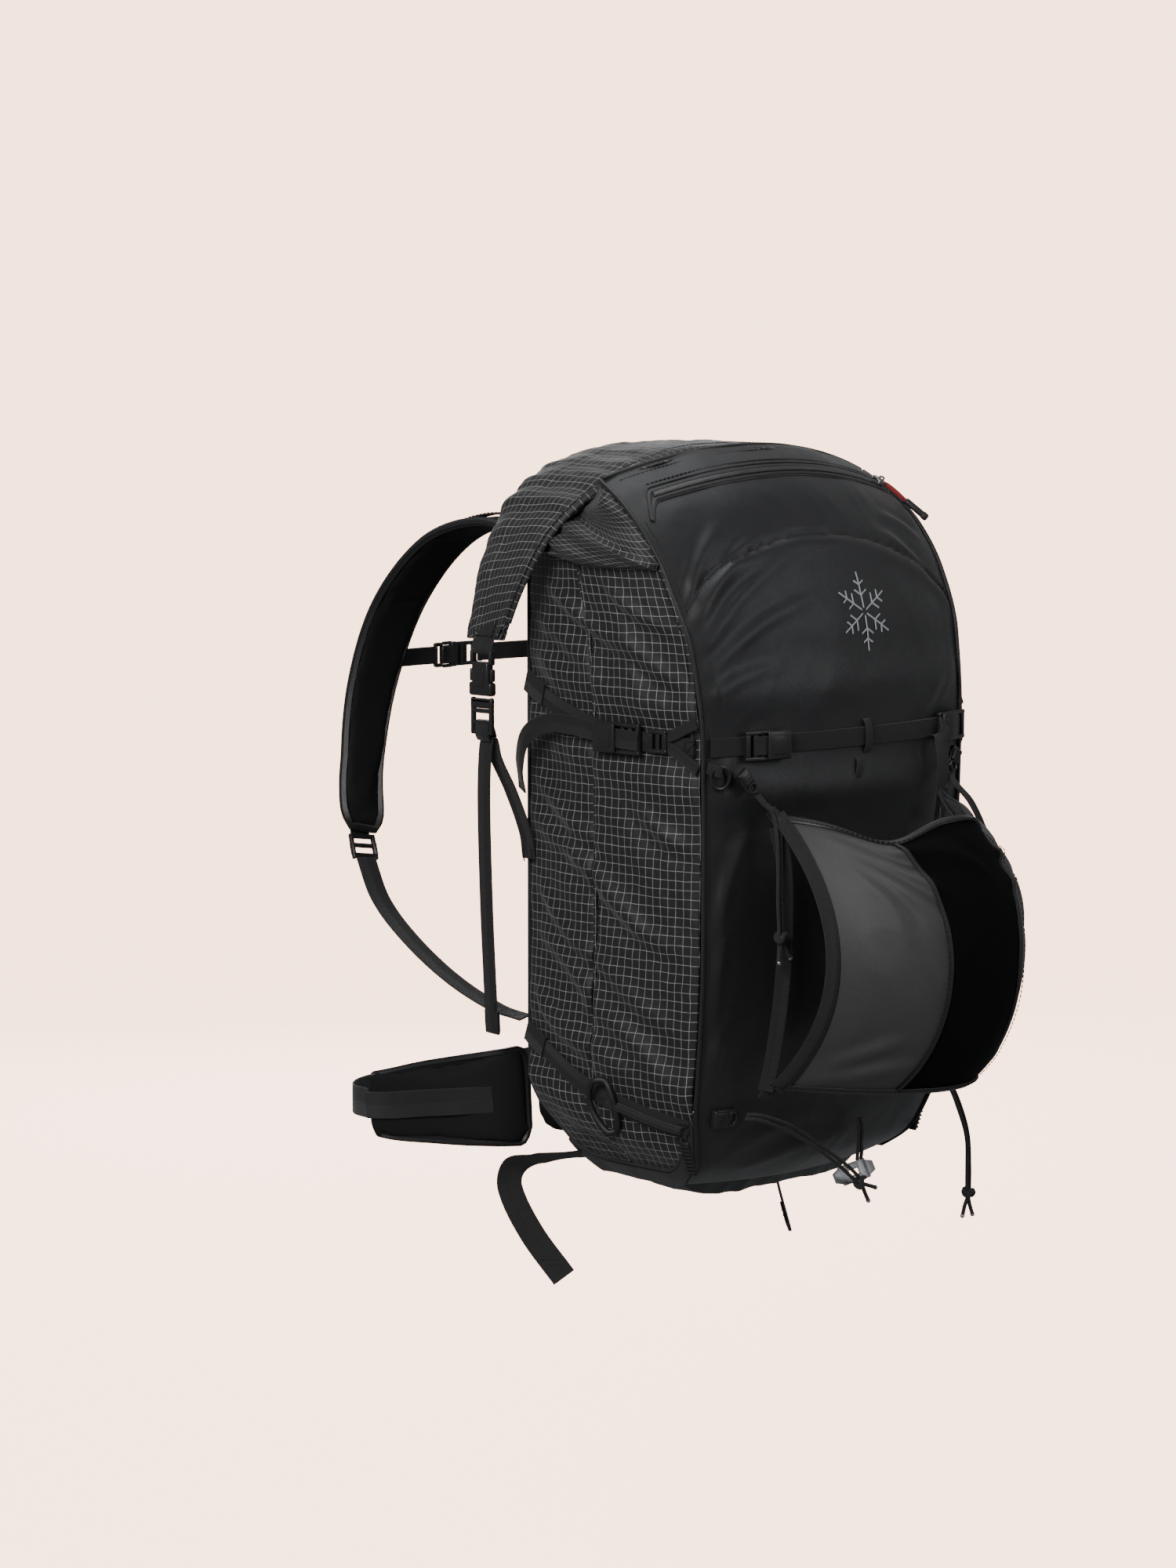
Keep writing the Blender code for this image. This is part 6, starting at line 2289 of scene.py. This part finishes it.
@dataclass
class Harness:
    """Back padding, shoulder straps, sternum strap, hip belt and haul loop."""

    shop: PadShop = field(default_factory=PadShop)
    band_thick: float = 0.0072
    band_swell: float = 0.0022
    band_fill: float = 0.6
    pad_route: tuple = ((0.055, 0.001, 0.33), (0.058, 0.012, 0.372), (0.062, 0.04, 0.4), (0.068, 0.085, 0.41),
                        (0.078, 0.138, 0.392), (0.091, 0.182, 0.34), (0.106, 0.2, 0.272), (0.122, 0.196, 0.2),
                        (0.133, 0.182, 0.155))
    web_route: tuple = ((0.146, 0.145, 0.1), (0.153, 0.1, 0.072), (0.152, 0.05, 0.045),
                        (0.143, 0.008, 0.026), (0.1345, -0.016, 0.02))
    wing_route: tuple = ((0.125, -0.0075, -0.045), (0.146, 0.002, -0.046), (0.163, 0.026, -0.049),
                         (0.171, 0.06, -0.054), (0.171, 0.098, -0.061), (0.164, 0.135, -0.067))
    hip_route: tuple = ((0.162, 0.143, -0.068), (0.148, 0.178, -0.071), (0.118, 0.208, -0.074),
                        (0.08, 0.224, -0.076),
                        (0.05, 0.228, -0.078), (0.033, 0.228, -0.078))
    tail_route: tuple = ((0.1215, -0.07, -0.084), (0.138, -0.038, -0.09), (0.148, -0.018, -0.098),
                         (0.15, -0.014, -0.115), (0.143, -0.031, -0.15), (0.131, -0.057, -0.185))

    def slab(self, name: str, size: Sequence[float], place: Sequence[float], node: str, cap: float,
             grooves: Sequence[float]) -> None:
        """Makes a flat pad with sewn channels.

        Args:
            name: the pad's name.
            size: its sides.
            place: its middle.
            node: the CAD node it stands for.
            cap: the most that it may swell.
            grooves: heights of its sewn channels, relative to its middle.
        """
        bm = bmesh.new()
        bmesh.ops.create_cube(bm, size=1.0)
        bmesh.ops.scale(bm, vec=size, verts=bm.verts)
        upright = [e for e in bm.edges if abs(e.verts[0].co.y - e.verts[1].co.y) > 0.5 * size[1]]
        bmesh.ops.bevel(bm, geom=upright, offset=0.03, segments=6, profile=0.5, affect="EDGES", material=-1)
        bmesh.ops.translate(bm, vec=place, verts=bm.verts)
        ob = mesh_object(name, bm, PAD_CLOTH)
        high = place[1] + size[1] / 2 + cap

        def channel(row: np.ndarray, normals: np.ndarray) -> np.ndarray:
            """Presses the channels in, and keeps the pad's face within its depth."""
            press = sum(0.0036 * bell(row[:, 2] - place[2] - g - 0.02 * np.abs(row[:, 0] / size[0]), 0.0045)
                        for g in grooves)
            press = press + 0.003 * bell(row[:, 0], 0.006)
            row = row.copy()
            row[:, 1] -= press * (normals[:, 1] > 0.2)
            row[:, 1] = np.minimum(row[:, 1], high)
            return row

        settle(ob, "pack", "padding", node)
        self.shop.add(ob, cap, channel)

    def band(self, name: str, route: Sequence, across: Sequence[float], width: Callable[[float], float],
             body: str, node: str) -> None:
        """Makes a long curved pad, crowned across, with bound edges.

        Args:
            name: the pad's name.
            route: its route.
            across: rough direction of its width.
            width: its width at each share of its length.
            body: the body it rides on.
            node: the CAD node it stands for.
        """
        row = smooth_route(route, 70)

        def section(share: float) -> np.ndarray:
            """Crowned outline, rounded at both ends of the pad."""
            tip = min(1.0, math.sqrt(max(0.0, min(share, 1 - share)) / 0.035 + 0.05))
            wide = width(share) * (0.62 + 0.38 * tip)
            turn = np.linspace(0, 2 * math.pi, 24, endpoint=False)
            x = np.sign(np.cos(turn)) * np.abs(np.cos(turn)) ** 0.5 * wide / 2
            y = np.sign(np.sin(turn)) * np.abs(np.sin(turn)) ** 0.42 * self.band_thick / 2
            return np.stack([x, y], axis=1)

        ob = swept_object(name, row, across, section, PAD_CLOTH)
        settle(ob, body, "padding", node)
        self.shop.add(ob, self.band_swell)
        ways = unit(np.gradient(row, axis=0))
        flat = np.asarray(across, float)
        side = unit(flat - (ways @ flat)[:, None] * ways)
        reach = np.array([section(k / 69)[:, 0].max() for k in range(70)])[:, None] - 0.003
        bound = np.concatenate([row + side * reach, (row - side * reach)[::-1]])
        strip = swept_object(name + "_binding", bound, np.cross(np.concatenate([side, side[::-1]]),
                                                                np.concatenate([ways, ways[::-1]])),
                             strap_section(0.0074, 0.0062), SHELL, True)
        settle(strip, body, "shell_fabric")

    def build_back(self) -> None:
        """Back pad, lumbar pad and haul loop."""
        self.slab("back_cushion", (0.226, 0.008, 0.348), (0, -0.015, 0.232), "back_pad", 0.0028,
                  (-0.1, -0.03, 0.04, 0.11))
        self.slab("lumbar_cushion", (0.23, 0.014, 0.122), (0, -0.01, -0.02), "lumbar_pad", 0.003,
                  (-0.025, 0.022))
        loop = ((-0.018, 0.0025, 0.396), (-0.021, 0.0025, 0.415), (-0.014, 0.0025, 0.436),
                (0.0, 0.0025, 0.443),
                (0.014, 0.0025, 0.436), (0.021, 0.0025, 0.415), (0.018, 0.0025, 0.396))
        row = smooth_route(loop, 60)

        def folded(share: float) -> np.ndarray:
            """Webbing folded narrower towards the hand."""
            wide = np.interp(share, (0, 0.25, 0.5, 0.75, 1), (0.015, 0.012, 0.0085, 0.012, 0.015))
            return strap_section(float(wide), 0.0022)(share)

        swept_piece("haul_webbing", row, (0, 1, 0), folded, STRAP, "haul_loop", "webbing", "haul_loop")
        sleeve = swept_object("haul_grip", row[20:40], (0, 1, 0), round_section(0.0048, 12), RUBBER)
        settle(sleeve, "haul_loop", "padding")

    def build_shoulder(self, hand: int) -> None:
        """One shoulder pad with its ladder lock, webbing and daisy strap."""
        body = hand_name(hand, "shoulder_strap")
        self.band(hand_name(hand, "shoulder_cushion"), handed(hand, self.pad_route), (1, 0, 0),
                  lambda u: 0.044 + 0.016 * math.sin(math.pi * min(1.0, 1.15 * u)), body,
                  hand_name(hand, "shoulder_pad"))
        straps = CompressionStraps()
        row = smooth_route(handed(hand, self.pad_route), 70)[8:66]
        ways = unit(np.gradient(row, axis=0))
        out = unit(np.cross(ways, (1.0, 0, 0)))
        if out[20:, 1].mean() < 0:
            out = -out
        daisy = row + out * 0.0058
        straps.ribbon(hand_name(hand, "daisy_webbing"), daisy[::3], (1, 0, 0), STRAP_WIDTH, body)
        sewing = bmesh.new()
        for dx in (-0.006, 0.006):
            stitches(sewing, daisy + out * 0.001 + np.array([dx, 0, 0]), out)
        sewn(hand_name(hand, "daisy_sewing"), sewing, body)
        lock = frame_at((0.1345 * hand, 0.179, 0.1445), (0.15 * hand, -0.42, -0.9), (0, 1, -0.45))
        along, face = (np.array(lock.to_3x3().col[k]) for k in (0, 2))
        lock.translation += Vector(along * 0.005 + face * 0.002)
        middle = np.array(lock.translation)
        ladder = LadderBuckle(0.022, 0.026, 0.004, (-0.009, -0.001, 0.0078))
        straps.ribbon(hand_name(hand, "lock_tape"),
                      [daisy[-1], daisy[-1] + ways[-1] * 0.014 - out[-1] * 0.0012,
                                                     middle - along * 0.0125 + face * 0.0015,
                                                     middle - along * 0.0088],
                      (1, 0, 0), WIDE_STRAP, body, (), 24)
        settle(ladder.build(hand_name(hand, "shoulder_ladder"), lock), body, "black_plastic",
               hand_name(hand, "ladder_lock"))
        web = [middle + along * 0.007, *handed(hand, self.web_route)]
        straps.ribbon(hand_name(hand, "shoulder_tape"), web, (1, 0, 0), WIDE_STRAP, body,
                      (hand_name(hand, "shoulder_webbing"),), 70)

    def build_sternum(self, hand: int) -> None:
        """One half of the sternum strap."""
        body = hand_name(hand, "sternum_strap")
        straps = CompressionStraps()
        route = handed(hand, ((0.096, 0.208, 0.29), (0.083, 0.209, 0.29), (0.062, 0.211, 0.29),
                              (0.04, 0.212, 0.29),
                              (0.024, 0.212, 0.29)))
        straps.ribbon(hand_name(hand, "sternum_webbing"), route, (0, 0, 1), STRAP_WIDTH, body, (body,), 40)
        clip = frame_at((0.102 * hand, 0.2065, 0.29), (0.18 * hand, 0.2, -0.96), (0, 1, 0.2))
        slide = LadderBuckle(0.02, 0.034, 0.0046, (-0.008, 0.0, 0.008))
        settle(slide.build(hand_name(hand, "sternum_slide"), clip), body, "black_plastic",
               hand_name(hand, "sternum_slider"))
        at = frame_at((0.013 * hand, 0.212, 0.29), (-hand, 0, 0), (0, 1, 0))
        node = "sternum_buckle_female" if hand < 0 else "sternum_buckle_male"
        if hand < 0:
            made = SideRelease(0.022, 0.025, 0.0072).socket("sternum_socket", at)
        else:
            made = SideRelease(0.021, 0.023, 0.0068).prongs("sternum_prongs", at)
        settle(made, body, "black_plastic", node)

    def build_hip(self, hand: int) -> None:
        """One wing of the hip belt with its webbing, buckle half and tail."""
        body = hand_name(hand, "hip_wing")
        straps = CompressionStraps()
        self.band(hand_name(hand, "hip_cushion"), handed(hand, self.wing_route), (0, 0, 1),
                  lambda u: 0.082 - 0.03 * u,
                  body, body)
        outer = [(p[0] + 0.0075 * hand, p[1], p[2]) for p in handed(hand, self.wing_route)][1:]
        straps.ribbon(hand_name(hand, "wing_webbing"), outer, (0, 0, 1), 0.022, body, (), 40)
        straps.ribbon(hand_name(hand, "hip_tape"), handed(hand, self.hip_route), (0, 0, 1), 0.025, body,
                      (hand_name(hand, "hip_webbing"),), 60)
        at = frame_at((0.0165 * hand, 0.228, -0.078), (-hand, 0, 0), (0, 1, 0))
        node = "hip_buckle_female" if hand < 0 else "hip_buckle_male"
        if hand < 0:
            made = SideRelease(0.033, 0.032, 0.0096).socket("hip_socket", at)
        else:
            made = SideRelease(0.032, 0.029, 0.009).prongs("hip_prongs", at)
        settle(made, body, "black_plastic", node)
        across = (-0.72 * hand, -0.69, 0.0)
        straps.ribbon(hand_name(hand, "belt_webbing"), handed(hand, self.tail_route), across, WIDE_STRAP,
                      "pack",
                      (hand_name(hand, "belt_tail"),), 90)
        end = smooth_route(handed(hand, self.tail_route), 90)[-12:]
        out = unit(np.cross(np.gradient(end, axis=0), across))
        hem = swept_object(hand_name(hand, "belt_hem"), end + out * 0.0014, across,
                           strap_section(WIDE_STRAP, 0.0013), STRAP)
        settle(hem, "pack", "webbing")
        sewing = bmesh.new()
        for k in (1, 4):
            bar = np.linspace(-0.0075, 0.0075, 6)[:, None] * unit(np.array(across))[None]
            bar = bar + end[k] + out[k] * 0.0023
            stitches(sewing, bar, np.tile(out[k], (6, 1)), 0.0018, 0.0006)
        sewn(hand_name(hand, "belt_sewing"), sewing)

    def build(self) -> None:
        """Makes the harness and swells its pads."""
        self.build_back()
        for hand in HANDS:
            self.build_shoulder(hand)
            self.build_sternum(hand)
            self.build_hip(hand)
        self.shop.run()


def dress_frame() -> None:
    """Gives the CAD nodes that stay their own finishes."""
    for node, finish in (("frame_sheet", BOARD), ("frame_stay", ALUMINIUM)):
        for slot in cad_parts[node].material_slots:
            slot.material = finish.get()


def main() -> None:
    """Builds everything in order and reports each sub-assembly."""
    logging.basicConfig(level=logging.INFO, format="%(message)s")
    steps = (("studio", Studio()), ("free cords", FreeCords()), ("bag body", BagBody()),
             ("roll top", RollTop()),
             ("front zip", FrontZip()), ("compression straps", CompressionStraps()),
             ("helmet carrier", HelmetCarrier()), ("harness", Harness()))
    for label, part in steps:
        part.build()
        LOG.info("built %s", label)
    for hand in HANDS:
        RollStraps().build(hand)
    dress_frame()


if __name__ == "__main__":
    main()
